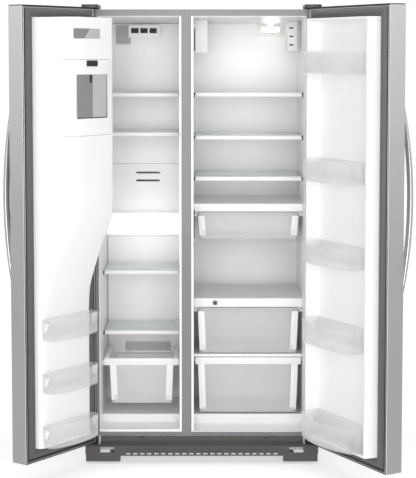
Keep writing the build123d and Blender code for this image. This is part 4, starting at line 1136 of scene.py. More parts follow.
@dataclass(frozen=True)
class IceModule:
    """Ice bin with its window and latch, and the small window over it."""

    face: float = 155.0
    window_u: Span = (126.0, 292.0)
    window_z: Span = (1357.0, 1516.0)
    shade_light_split: float = 207.0
    top_u: Span = (165.0, 308.0)
    top_z: Span = (1645.0, 1681.0)
    slot_u: Span = (209.0, 224.0)
    slot_z: Span = (1486.0, 1514.0)
    latch_u: Span = (179.0, 239.0)
    latch_z: Span = (1545.0, 1566.0)
    latch_depth: Span = (149.5, 156.5)
    press: float = 4.0

    def build(self) -> None:
        """Model every piece on the bulge."""
        bin_home = door_home(Side.LEFT, "ice_bin")
        door = door_home(Side.LEFT)
        bin_ = Bulge().make_bin()
        gap = 0.5
        latch_u = (self.latch_u[0] - gap, self.latch_u[1] + gap)
        latch_z = (self.latch_z[0] - gap, self.latch_z[1] + gap)
        throat = (self.latch_depth[0] - self.press, 170.0)
        carve(bin_, block("hole", latch_u, throat, latch_z), "DIFFERENCE")
        smooth(bin_, 35.0)
        bin_home.finish(bin_, LINER, "ice_bin")
        # The ice window's dark and pale halves are painted shade and painted light.
        dark, light = self.shade_and_light_panes("ice_window", self.window_u, self.window_z, self.shade_light_split, 0.0)
        bin_home.finish(dark, SHADE_PAINTED_PANE)
        bin_home.finish(light, LIGHT_PAINTED_PANE)
        # A dark strip of painted shade along the ice window's inner edge.
        bin_home.finish(self.shade_strip(), DARK)
        slot = block(
            "ice_window_slot", self.slot_u, (self.face + 0.3, self.face + 1.3), self.slot_z
        )
        inset(slot, side_at(Y, self.face + 1.3), ((3.0, -0.6),))
        soften(slot, 0.4)
        bin_home.finish(slot, BLACK)
        # The small window above is painted the same way, one half in painted shade and one in painted
        # light.
        dark, light = self.shade_and_light_panes("top_window", self.top_u, self.top_z, 236.0, 16.0)
        door.finish(dark, SHADE_PAINTED_PANE)
        door.finish(light, LIGHT_PAINTED_PANE)
        self.build_latch()

    def shade_and_light_panes(self, name: str, u: Span, z: Span, split: float, slant: float) -> tuple[Piece, Piece]:
        """Model a window's dark and pale halves, in painted shade and painted light.

        Args:
            name: The window's name.
            u: Its width.
            z: Its height.
            split: Where the halves meet.
            slant: How far that line leans.

        Returns:
            The dark half in painted shade, then the pale one in painted light.
        """
        halves = []
        for half, span, end in (("dark", (split, u[1]), split), ("pale", (u[0], split), split)):
            pane = block(f"{name}_{half}", span, (self.face - 1.0, self.face + 0.5), z)
            slide(pane, both(on(X, end), on(Z, z[0])), (slant, 0, 0))
            slide(pane, both(on(X, end), on(Z, z[1])), (-slant, 0, 0))
            inset(pane, side_at(Y, self.face + 0.5), ((0.6, 0.2),))
            halves.append(pane)
        return halves[0], halves[1]

    def shade_strip(self) -> Piece:
        """Model the dark inner edge along the window's foot and its hinge side, a strip of painted
        shade.
        """
        u, z = self.window_u, self.window_z
        depth = (self.face - 0.8, self.face + 1.0)
        foot = block("strip", u, depth, (z[0], z[0] + 4.0))
        slide(foot, both(on(Z, z[0] + 4.0), on(X, u[1])), (-8.0, 0, 0))
        side = block("strip", (u[0], u[0] + 4.5), depth, (z[0] + 4.0, z[1]))
        slide(side, both(on(Z, z[1]), on(X, u[0] + 4.5)), (-2.0, 0, 0))
        return join("ice_window_painted_shade_edge", [foot, side])

    def build_latch(self) -> None:
        """Model the press latch with its finger dish."""
        latch = block("latch", self.latch_u, self.latch_depth, self.latch_z)
        bevel(latch, along(Y), 4.0, 4)
        inset(latch, side_at(Y, self.latch_depth[1]), ((3.0, 0.0), (2.0, -1.6)))
        soften(latch, 0.5)
        latch.name = "ice_bin_press_latch"
        door_home(Side.LEFT, "ice_bin_latch").finish(latch, BLACK, "ice_bin_latch")


@dataclass(frozen=True)
class Dispenser:
    """Control strip, spouts, rim and drip tray of the outside dispenser."""

    u: Span = (95.4, 298.6)
    z: Span = (940.4, 1391.6)
    recess_u: Span = (105.0, 289.0)
    recess_z: Span = (962.0, 1285.0)
    face: float = -88.5
    back: float = -6.0
    spouts: tuple[float, ...] = (166.0, 228.0)
    keys: int = 6

    def build(self) -> None:
        """Model each piece on the dispenser housing."""
        home = door_home(Side.LEFT)
        self.build_panel(home)
        self.build_recess(home)
        self.build_tray(home)

    def build_panel(self, home: Home) -> None:
        """Model the glossy control strip with its row of round keys."""
        low = self.recess_z[1] + 12.0
        panel = block(
            "dispenser_panel",
            (self.u[0] + 6.0, self.u[1] - 6.0),
            (self.face - 1.6, self.face + 0.5),
            (low, self.z[1] - 6.0),
        )
        bevel(panel, along(Y), 8.0, 5)
        inset(panel, side_at(Y, self.face - 1.6), ((3.0, 0.0), (1.0, -0.5)))
        soften(panel, 0.4)
        home.finish(panel, GLOSS)
        middle = (low + self.z[1]) / 2 - 14.0
        first = self.u[0] + 30.0
        pitch = (self.u[1] - self.u[0] - 60.0) / (self.keys - 1)
        key = rod("key", Y, (first, self.face - 1.4, middle), 7.5, 1.4, 20)
        inset(key, side_at(Y, self.face - 2.1), ((1.4, -0.5),))
        soften(key, 0.3)
        keys = [key] + [copy_by(key, (k * pitch, 0, 0)) for k in range(1, self.keys)]
        home.finish(join("dispenser_keys", keys), STAINLESS)
        bar = block(
            "bar",
            (first, first + (self.keys - 1) * pitch),
            (self.face - 1.9, self.face - 1.0),
            (middle + 30.0, middle + 44.0),
        )
        inset(bar, side_at(Y, self.face - 1.9), ((1.6, -0.4),))
        bar.name = "dispenser_light_bar"
        home.finish(bar, LENS)

    def build_recess(self, home: Home) -> None:
        """Model the chute, the water spout and the lining's rim."""
        rim = ring(
            "dispenser_rim",
            (self.recess_u[0] - 5.0, self.recess_u[1] + 5.0),
            (self.recess_z[0] - 5.0, self.recess_z[1] + 5.0),
            self.face,
            9.0,
            ((1.2, -1.4), (2.6, 0.0), (1.2, 1.4)),
        )
        smooth(rim)
        home.finish(rim, STAINLESS)
        parts = []
        for k, x in enumerate(self.spouts):
            radius = (21.0, 9.0)[k]
            spout = rod("spout", Z, (x, -48.0, self.recess_z[1] - 20.0), radius, 40.0, 28)
            low = self.recess_z[1] - 40.0
            with editing(spout):
                pick(spout, "FACE", side_at(Z, low))
                middle = Vector((x, -48.0, low)) * MM
                bpy.ops.transform.resize(value=(0.8, 0.8, 1), center_override=middle)
            inset(spout, side_at(Z, low), ((2.5, 0.0), (0.5, -16.0)))
            soften(spout, 0.8)
            parts.append(spout)
        home.finish(join("dispenser_spouts", parts), DARK)

    def build_tray(self, home: Home) -> None:
        """Model the drip tray's slotted grid."""
        x = (self.recess_u[0] + 3.0, self.recess_u[1] - 3.0)
        y = (self.face + 4.0, self.back - 2.0)
        low = self.recess_z[0]
        plate = tray("plate", x, y, (low + 0.3, low + 9.0), 3.0, 6.0)
        soften(plate, 0.5)
        parts = [plate]
        bars = 15
        for k in range(bars):
            place = x[0] + 6.0 + (x[1] - x[0] - 12.0) * k / (bars - 1)
            bar = block(
                "bar", (place - 1.6, place + 1.6), (y[0] + 2.5, y[1] - 2.5), (low + 4.0, low + 8.6)
            )
            bevel(bar, both(along(Y), on(Z, low + 8.6)), 1.2, 2)
            parts.append(bar)
        grid = join("dispenser_drip_tray", parts)
        smooth(grid)
        home.finish(grid, DARK)


@dataclass(frozen=True)
class DoorTrim:
    """Thin cap rim along a door's top edge."""

    side: Side
    width: float
    top: float = 1763.0
    face: float = -87.0
    rear: float = -13.0

    def build(self) -> None:
        """Model the thin cap rim on the door's top."""
        home = door_home(self.side)
        rim = tray(
            f"{self.side.value}_top_rim",
            (2.0, self.width - 2.0),
            (self.face + 2.0, self.rear - 3.0),
            (self.top - 1.2, self.top + 0.6),
            5.0,
            8.0,
        )
        soften(rim, 0.3)
        home.finish(rim, BLACK)


# ---------------------------------------------------------------- inside the cabinet
@dataclass(frozen=True)
class Shelves:
    """Glass shelves with a moulded front trim, in both compartments."""

    fridge_x: Span = (-31.0, 397.0)
    freezer_x: Span = (-395.0, -87.0)
    fridge_z: tuple[float, ...] = (1104.0, 1266.0, 1435.0)
    freezer_z: tuple[float, ...] = (478.0, 722.0, 1275.0, 1432.0)
    fridge_y: Span = (120.0, 480.0)
    freezer_y: Span = (190.0, 444.0)

    def build(self) -> None:
        """Model one shelf per compartment and copy it to each height."""
        home = cabinet_home()
        trims, plates = [], []
        for x, y, heights in (
            (self.fridge_x, self.fridge_y, self.fridge_z),
            (self.freezer_x, self.freezer_y, self.freezer_z),
        ):
            trim, plate = self.trim(x, y, heights[0]), self.plate(x, y, heights[0])
            trims.append(trim)
            plates.append(plate)
            for height in heights[1:]:
                trims.append(copy_by(trim, (0, 0, height - heights[0])))
                plates.append(copy_by(plate, (0, 0, height - heights[0])))
        home.finish(join("shelf_trims", trims), WHITE, "shelf_frames")
        home.finish(join("shelf_plates", plates), PLATE_GLASS, "shelf_glass")

    def trim(self, x: Span, y: Span, top: float) -> Piece:
        """Model the rounded front bar, the rear bar and the two tapered carriers."""
        bar = block("trim", x, (y[0], y[0] + 12.0), (top - 12.0, top + 5.0))
        bevel(bar, both(along(X), on(Y, y[0])), 4.5, 5)
        push(bar, side_at(Y, y[0] + 12.0), (0, 1.5, 0))
        parts = [
            bar,
            block(
                "rear", (x[0] + 6.0, x[1] - 6.0), (y[1] - 8.0, y[1] - 1.0), (top - 7.0, top + 4.0)
            ),
        ]
        for near, far in ((x[0], x[0] + 10.0), (x[1] - 10.0, x[1])):
            carrier = block(
                "carrier", (near, far), (y[0] + 8.0, y[1] - 1.0), (top - 15.5, top - 2.2)
            )
            slide(carrier, both(on(Z, top - 15.5), on(Y, y[0] + 8.0)), (0, 34.0, 0))
            parts.append(carrier)
        trim = join("trim", parts)
        soften(trim, 1.0, 2)
        return trim

    def plate(self, x: Span, y: Span, top: float) -> Piece:
        """Model the glass plate with ground edges."""
        plate = block(
            "plate", (x[0] + 2.5, x[1] - 2.5), (y[0] + 11.0, y[1] - 2.0), (top - 2.0, top + 2.0)
        )
        bevel(plate, along(Z), 3.0, 3)
        soften(plate, 0.8, 2)
        return plate


class DrawerKind(Enum):
    """The four drawers, by the body that each one is."""

    DELI = "deli_drawer"
    UPPER = "upper_crisper"
    LOWER = "lower_crisper"
    FREEZER = "freezer_drawer"


@dataclass(frozen=True)
class Drawer:
    """Frosted drawer with a rounded rim, a pull lip and two pale corner posts."""

    kind: DrawerKind
    x: Span
    y: Span
    z: Span
    lip: float
    bar: tuple[Span, Span] | None = None
    back_top: float | None = None
    wall: float = 3.0
    lip_high: float = 10.0
    taper: float = 7.0
    post: float = 26.0

    def build(self) -> None:
        """Model the tray, its lips, pull and posts."""
        home = cabinet_home(self.kind.value)
        name = self.kind.value
        body = tray(f"{name}_body", self.x, self.y, self.z, self.wall, 14.0, self.taper)
        if self.back_top:
            dip = block(
                "dip",
                (self.x[0] - 1.0, self.x[1] + 1.0),
                (self.y[1] - 14.0, self.y[1] + 1.0),
                (self.back_top, self.z[1] + 1.0),
            )
            carve(body, dip, "DIFFERENCE")
        soften(body, 0.8, 2, 45.0)
        home.finish(body, FROSTED, name)
        home.finish(self.fittings(), WHITE)
        home.finish(self.front_lines(), CLEAR)

    def fittings(self) -> Piece:
        """Model the carrying lips, the pull along the rim and the corner posts."""
        low, high = self.z[1] - self.lip_high, self.z[1]
        parts = []
        for near, far in (
            (self.x[0] - self.lip, self.x[0] + 1.0),
            (self.x[1] - 1.0, self.x[1] + self.lip),
        ):
            lip = block(
                "lip", (near, far), (self.y[0] + 14.0, self.y[1] - 14.0), (low + 0.4, high - 0.4)
            )
            bevel(lip, both(along(Y), on(Z, high - 0.4)), 2.5, 3)
            parts.append(lip)
        for place in (self.x[0] + self.post / 2 + 1.0, self.x[1] - self.post / 2 - 1.0):
            across = (place - self.post / 2, place + self.post / 2)
            post = block(
                "post", across, (self.y[0] - 0.4, self.y[0] + 1.4), (self.z[0] + 14.0, low - 4.0)
            )
            with editing(post):
                pick(post, "FACE", side_at(Z, self.z[0] + 14.0))
                shift = self.taper if place < sum(self.x) / 2 else -self.taper
                bpy.ops.transform.translate(value=(shift * MM, self.taper * MM, 0))
            parts.append(post)
        if self.bar:
            grip = block("grip", self.bar[0], (self.y[0] - 8.0, self.y[0] + 1.0), self.bar[1])
            bevel(grip, both(along(X), on(Y, self.y[0] - 8.0)), 2.0, 3)
            parts.append(grip)
        fittings = join(f"{self.kind.value}_fittings", parts)
        soften(fittings, 0.8, 2)
        return fittings

    def front_lines(self) -> Piece:
        """Model the clear pull bar across the drawer's front with its finger hollow."""
        bar = block(
            "pull",
            (self.x[0] + 16.0, self.x[1] - 16.0),
            (self.y[0] - 1.0, self.y[0] + 2.0),
            (self.z[1] - 20.0, self.z[1] - 1.0),
        )
        inset(bar, side_at(Y, self.y[0] - 1.0), ((2.5, 0.0), (2.0, -1.5)))
        soften(bar, 0.5, 2)
        bar.name = f"{self.kind.value}_pull"
        return bar


@dataclass(frozen=True)
class FreezerFittings:
    """Vent tower louvres, sensor guard, light shield and panel beads of the freezer."""

    left: float = -396.0
    right: float = -86.0
    panel: float = 446.0
    shield_y: Span = (402.0, 445.6)
    shield_z: Span = (840.0, 934.0)
    slots: tuple[Span, ...] = ((-293.0, -262.0), (-256.0, -225.0), (-219.0, -188.0))
    slot_z: Span = (1676.0, 1697.0)
    patch_x: Span = (-356.0, -295.0)
    patch_z: Span = (1630.0, 1710.0)

    def build(self) -> None:
        """Model each fitting."""
        home = cabinet_home()
        self.build_shield(home)
        self.build_louvres(home)
        self.build_patch(home)
        self.build_panel_edges(home)

    def build_shield(self, home: Home) -> None:
        """Model the milky curved light shield across the back."""
        low, high = self.shield_z
        shield = block("shield", (self.left + 2.0, self.right - 2.0), self.shield_y, self.shield_z)
        bevel(shield, both(along(X), on(Y, self.shield_y[0])), 13.0, 6)
        inset(shield, side_at(Y, self.shield_y[0]), ((8.0, 0.0), (1.5, -1.2)))
        drop_faces(shield, side_at(Y, self.shield_y[1]))
        modify(shield, "SOLIDIFY", thickness=2.0 * MM, offset=-1.0)
        smooth(shield)
        shield.name = "freezer_light_shield"
        home.finish(shield, LENS, "lamp_covers")
        for k, height in enumerate((low - 3.0, high + 3.0)):
            strip = block(
                "strip",
                (self.left + 1.5, self.right - 1.5),
                (self.panel - 5.0, self.panel - 0.2),
                (height - 1.5, height + 1.5),
            )
            soften(strip, 0.6)
            strip.name = f"light_shield_seat_{k}"
            home.finish(strip, WHITE)

    def build_louvres(self, home: Home) -> None:
        """Model the black throats of the vent tower with a slanted vane in each."""
        throats = []
        for low, high in self.slots:
            throat = block(
                "throat",
                (low + 0.3, high - 0.3),
                (431.5, 437.6),
                (self.slot_z[0] + 0.3, self.slot_z[1] - 0.3),
            )
            inset(throat, side_at(Y, 431.5), ((1.5, 0.0), (1.0, -4.0)))
            throats.append(throat)
            vane = block(
                "vane",
                (low + 2.0, high - 2.0),
                (427.5, 433.0),
                (self.slot_z[0] + 9.5, self.slot_z[0] + 11.0),
            )
            slide(vane, on(Y, 427.5), (0, 0, -3.0))
            throats.append(vane)
        home.finish(join("vent_throats", throats), BLACK)

    def build_patch(self, home: Home) -> None:
        """Model the ribbed sensor guard beside the vent tower."""
        plate = block("guard", self.patch_x, (self.panel - 4.0, self.panel - 0.2), self.patch_z)
        bevel(plate, along(Y), 4.0, 3)
        ribs = [plate]
        count = 11
        for k in range(count):
            z = self.patch_z[0] + 7.0 + (self.patch_z[1] - self.patch_z[0] - 14.0) * k / (count - 1)
            rib = block(
                "rib",
                (self.patch_x[0] + 4.0, self.patch_x[1] - 4.0),
                (self.panel - 7.0, self.panel - 3.8),
                (z - 1.7, z + 1.7),
            )
            bevel(rib, both(along(X), on(Y, self.panel - 7.0)), 1.4, 2)
            ribs.append(rib)
        guard = join("sensor_guard", ribs)
        smooth(guard)
        home.finish(guard, MouldedPlastic("white_plastic", (0.52, 0.53, 0.54), 0.4))

    def build_panel_edges(self, home: Home) -> None:
        """Model the seam bead between the two back panels and the bead up each corner."""
        beads = [
            block(
                "bead",
                (self.left + 2.0, self.right - 2.0),
                (self.panel - 1.4, self.panel - 0.1),
                (1134.6, 1137.4),
            )
        ]
        for x in (self.left + 1.0, self.right - 4.0):
            beads.append(
                block("bead", (x, x + 3.0), (self.panel - 3.0, self.panel - 0.1), (345.0, 1712.0))
            )
        for bead in beads:
            soften(bead, 0.6, 2)
        grey = MouldedPlastic("white_plastic", (0.6, 0.61, 0.62), 0.4)
        home.finish(join("back_panel_beads", beads), grey)


@dataclass(frozen=True)
class FridgeFittings:
    """Control housing, filter housing and lamp cover at the refrigerator's ceiling."""

    ceiling_front: float = 1733.0
    ceiling_drop: float = 20.0 / 530.0
    control_x: Span = (-31.5, 22.0)
    control_y: Span = (200.0, 330.0)
    control_low: float = 1595.0
    filter_x: Span = (342.0, 387.0)
    filter_y: Span = (300.0, 380.0)
    filter_low: float = 1604.0
    lamp_x: Span = (225.0, 337.0)
    lamp_y: Span = (350.0, 440.0)
    lamp_low: float = 1662.0

    def roof(self, y: float) -> float:
        """Height just under the sloping ceiling at a depth."""
        return self.ceiling_front - self.ceiling_drop * y - 0.6

    def hung(self, name: str, x: Span, y: Span, low: float) -> Piece:
        """Model a block whose top follows the sloping ceiling."""
        high = self.roof(y[0])
        hung = block(name, x, y, (low, high))
        slide(hung, both(on(Z, high), on(Y, y[1])), (0, 0, self.roof(y[1]) - high))
        return hung

    def build(self) -> None:
        """Model the three housings."""
        home = cabinet_home()
        self.build_control(home)
        self.build_filter(home)
        self.build_lamp(home)

    def build_control(self, home: Home) -> None:
        """Model the control housing with its panel lines, slit and two dials."""
        x, y, low = self.control_x, self.control_y, self.control_low
        body = self.hung("control_body", x, y, low)
        bevel(body, both(along(Y), on(X, x[1])), 6.0, 4)
        cut(body, Z, low + 42.0)
        cut(body, Z, low + 88.0)
        inset(
            body,
            both(lambda _, d: d.y < -0.95, between(Z, low, low + 42.0)),
            ((2.0, 0.0), (0.8, -1.6)),
        )
        inset(
            body,
            both(lambda _, d: d.y < -0.95, between(Z, low + 42.0, low + 88.0)),
            ((2.0, 0.0), (0.8, -1.6)),
        )
        soften(body, 0.8, 2)
        home.finish(body, WHITE, "control_housing")
        slit = block(
            "control_slit",
            (x[0] + 1.2, x[0] + 5.2),
            (y[0] - 1.0, y[0] + 3.0),
            (low + 8.0, low + 96.0),
        )
        inset(slit, side_at(Y, y[0] - 1.0), ((0.8, -0.6),))
        home.finish(slit, BLACK)
        dials = []
        for height in (low + 22.0, low + 66.0):
            dial = rod("dial", Y, (x[0] + 30.0, y[0] - 2.0, height), 11.0, 7.0, 28)
            inset(dial, side_at(Y, y[0] - 5.5), ((2.0, 0.4), (5.0, -0.8)))
            soften(dial, 0.5)
            dials.append(dial)
        home.finish(join("control_dials", dials), WHITE)

    def build_filter(self, home: Home) -> None:
        """Model the filter housing with its bracket and vent marks."""
        x, y, low = self.filter_x, self.filter_y, self.filter_low
        body = self.hung("filter_body", x, y, low)
        bevel(body, both(along(Z), on(Y, y[0])), 8.0, 4)
        inset(body, side_at(Z, low), ((4.0, 0.0), (1.5, 2.0)))
        bracket = block(
            "bracket",
            (x[1] - 2.0, x[1] + 10.0),
            (y[0] + 20.0, y[0] + 60.0),
            (low + 36.0, low + 86.0),
        )
        slide(bracket, both(on(Z, low + 36.0), on(X, x[1] + 10.0)), (0, 0, 14.0))
        body = join("filter_body", [body, bracket])
        soften(body, 0.8, 2)
        home.finish(body, WHITE, "filter_housing")
        marks = []
        for k in range(3):
            z = low + 20.0 + k * 34.0
            mark = block("mark", (x[0] + 10.0, x[0] + 26.0), (y[0] - 0.6, y[0] + 1.0), (z, z + 6.0))
            inset(mark, side_at(Y, y[0] - 0.6), ((1.2, -0.4),))
            marks.append(mark)
        home.finish(join("filter_marks", marks), DARK)

    def build_lamp(self, home: Home) -> None:
        """Model the faceted clear lamp cover."""
        x, y, low = self.lamp_x, self.lamp_y, self.lamp_low
        cover = self.hung("lamp_cover", x, y, low)
        with editing(cover, "EDGE"):
            pick(cover, "EDGE", along(X))
            bpy.ops.mesh.subdivide(number_cuts=7)
        with editing(cover, "EDGE"):
            pick(cover, "EDGE", along(Z))
            bpy.ops.mesh.subdivide(number_cuts=3)
        with editing(cover):
            pick(cover, "FACE", lambda _, d: d.y < -0.9 or d.z < -0.9)
            bpy.ops.mesh.poke(offset=-2.5 * MM)
        drop_faces(cover, lambda _, d: d.z > 0.9)
        modify(cover, "SOLIDIFY", thickness=1.8 * MM, offset=-1.0)
        cover.name = "fridge_lamp_cover"
        home.finish(cover, CLEAR)


@dataclass(frozen=True)
class WallRails:
    """Moulded ledges on the side walls, and the retainers at the shelf ends."""

    walls: tuple[float, ...] = (-32.0, 398.0)
    freezer_walls: tuple[float, ...] = (-396.0, -86.0)
    fridge_z: tuple[float, ...] = (1104.0, 1266.0, 1435.0)
    freezer_z: tuple[float, ...] = (478.0, 722.0, 1275.0, 1432.0)

    def build(self) -> None:
        """Model the ledges under each shelf and the dark clips in front."""
        home = cabinet_home()
        ledges, clips = [], []
        for walls, heights, y in (
            (self.walls, self.fridge_z, (126.0, 474.0)),
            (self.freezer_walls, self.freezer_z, (196.0, 438.0)),
        ):
            for k, wall in enumerate(walls):
                inward = 1 - 2 * k
                for height in heights:
                    ledges.append(self.ledge(wall, inward, y, height - 16.4))
                    clips.append(self.clip(wall, inward, y[0] - 4.0, height))
        home.finish(join("shelf_ledges", ledges), LINER)
        home.finish(join("shelf_clips", clips), DARK)

    def ledge(self, wall: float, inward: int, y: Span, top: float) -> Piece:
        """Model one ledge with a run-out at each end."""
        x = tuple(sorted((wall, wall + inward * 7.0)))
        ledge = block("ledge", x, y, (top - 9.0, top))
        edge = wall + inward * 7.0
        slide(ledge, both(on(Z, top - 9.0), on(X, edge)), (-inward * 5.0, 0, 0))
        slide(ledge, both(on(Y, y[0]), on(X, edge)), (-inward * 3.0, 0, 0))
        soften(ledge, 1.2, 3)
        return ledge

    def clip(self, wall: float, inward: int, y: float, height: float) -> Piece:
        """Model the small dark slanted clip at a shelf's end."""
        x = tuple(sorted((wall + inward * 0.6, wall + inward * 8.0)))
        clip = block("clip", x, (y - 4.0, y + 1.0), (height - 13.0, height + 4.0))
        slide(clip, both(on(Z, height - 13.0), on(X, wall + inward * 8.0)), (-inward * 5.0, 0, 0))
        soften(clip, 0.6, 2)
        return clip


@dataclass(frozen=True)
class DrawerCovers:
    """Bezels on the fronts of the drawer covers and the deli drawer's wall slot."""

    x: Span = (-30.5, 396.5)
    front: float = 118.0
    fascias: tuple[Span, ...] = ((971.0, 1002.0), (591.0, 626.0))

    def build(self) -> None:
        """Model a bezel over each fascia."""
        home = cabinet_home()
        for k, (low, high) in enumerate(self.fascias):
            bezel = block(
                "bezel", self.x, (self.front - 2.0, self.front + 0.2), (low + 0.5, high - 0.5)
            )
            bevel(bezel, both(along(X), on(Y, self.front - 2.0)), 1.6, 3)
            inset(bezel, side_at(Y, self.front - 2.0), ((4.0, 0.0), (0.8, -0.8)))
            smooth(bezel)
            bezel.name = f"drawer_cover_bezel_{k}"
            home.finish(bezel, WHITE)
        slot = block("slot", (-32.0, -29.4), (40.0, 112.0), (868.0, 985.0))
        slide(slot, both(on(Z, 868.0), on(Y, 40.0)), (0, 44.0, 0))
        slide(slot, both(on(Z, 985.0), on(Y, 112.0)), (0, -12.0, 0))
        soften(slot, 0.5)
        slot.name = "wall_air_slot"
        home.finish(slot, BLACK)
        dot = rod("wall_plug", X, (-31.0, 76.0, 846.0), 5.0, 2.0, 20)
        inset(dot, side_at(X, -30.0), ((1.2, -0.5),))
        home.finish(dot, BLACK)


# ---------------------------------------------------------------- outside the cabinet
@dataclass(frozen=True)
class OutsideFittings:
    """Hinge covers, kick plate screws, and the screws and folds of the back."""

    cover_x: Span = (-455.0, -392.0)
    cover_y: Span = (-60.0, 103.0)
    cover_z: Span = (1764.5, 1777.5)
    grille_screws: tuple[Span, ...] = ((-232.0, 101.0), (250.0, 97.0))
    band_y: float = -8.0
    back: float = 608.2

    def build(self) -> None:
        """Model each fitting."""
        home = cabinet_home()
        self.build_covers(home)
        self.build_screws(home)
        self.build_rear(home)

    def build_covers(self, home: Home) -> None:
        """Model the two moulded hinge covers with a screw in each."""
        covers, screws = [], []
        for hand in (1, -1):
            x = tuple(sorted((hand * self.cover_x[0], hand * self.cover_x[1])))
            cover = block("cover", x, self.cover_y, self.cover_z)
            bevel(cover, along(Z), 12.0, 6)
            inset(cover, side_at(Z, self.cover_z[1]), ((7.0, 0.0), (1.0, -0.8)))
            with editing(cover):
                pick(cover, "FACE", side_at(Z, self.cover_z[0]))
                bpy.ops.mesh.inset(thickness=1.8 * MM)
                bpy.ops.mesh.extrude_region_move(
                    TRANSFORM_OT_translate={"value": (0, 0, 10.0 * MM)}
                )
            soften(cover, 1.0, 3)
            covers.append(cover)
            middle = (x[0] + x[1]) / 2
            screws.append(self.screw((middle, self.cover_y[1] - 24.0, self.cover_z[1] - 1.6), Z))
        home.finish(join("hinge_caps", covers), DARK, "hinge_covers")
        home.finish(join("hinge_cap_screws", screws), ZINC)

    def screw(self, centre: tuple[float, float, float], axis: int) -> Piece:
        """Model a domed screw head with a round recess."""
        head = rod("screw", axis, centre, 4.6, 2.4, 16)
        caps = both(along(axis), lambda c, _: abs(abs(c[axis] - centre[axis]) - 1.2) < 0.2)
        inset(head, caps, ((1.2, 0.5), (1.6, 0.1), (0.6, -0.7)))
        smooth(head)
        return head

    def build_screws(self, home: Home) -> None:
        """Model the two screws in the kick plate's band."""
        screws = [self.screw((x, self.band_y - 0.5, z), Y) for x, z in self.grille_screws]
        home.finish(join("kick_plate_screws", screws), BLACK)

    def build_rear(self, home: Home) -> None:
        """Model the screws and the stiffening folds of the back."""
        first = self.screw((-440.0, self.back, 300.0), Y)
        screws = [first]
        for z in (620.0, 990.0, 1360.0, 1730.0):
            screws.append(copy_by(first, (0, 0, z - 300.0)))
        for screw in list(screws):
            screws.append(copy_by(screw, (880.0, 0, 0)))
        for x in (-220.0, 0.0, 220.0):
            screws.append(copy_by(first, (x + 440.0, 0, 1430.0)))
        home.finish(join("back_screws", screws), BLACK)
        folds = []
        for x in (-250.0, 250.0):
            fold = block(
                "fold", (x - 9.0, x + 9.0), (self.back - 1.0, self.back + 2.2), (360.0, 1680.0)
            )
            bevel(fold, both(on(Y, self.back + 2.2), lambda _, d: abs(d.y) < 0.1), 3.0, 3)
            smooth(fold)
            folds.append(fold)
        home.finish(join("back_folds", folds), ZINC)


@dataclass(frozen=True)
class GrilleInsert:
    """Ribs along the kick plate's lower face."""

    half: float = 300.0
    count: int = 3

    def build(self) -> None:
        """Model the ribs along the kick plate's lower face."""
        home = cabinet_home()
        ribs = []
        for k in range(self.count):
            z = 48.0 + 7.0 * k
            rib = block("rib", (-self.half, self.half), (-31.4, -29.5), (z - 1.6, z + 1.6))
            bevel(rib, both(along(X), on(Y, -31.4)), 1.2, 3)
            ribs.append(rib)
        insert = join("kick_plate_ribs", ribs)
        smooth(insert)
        home.finish(insert, KICK)


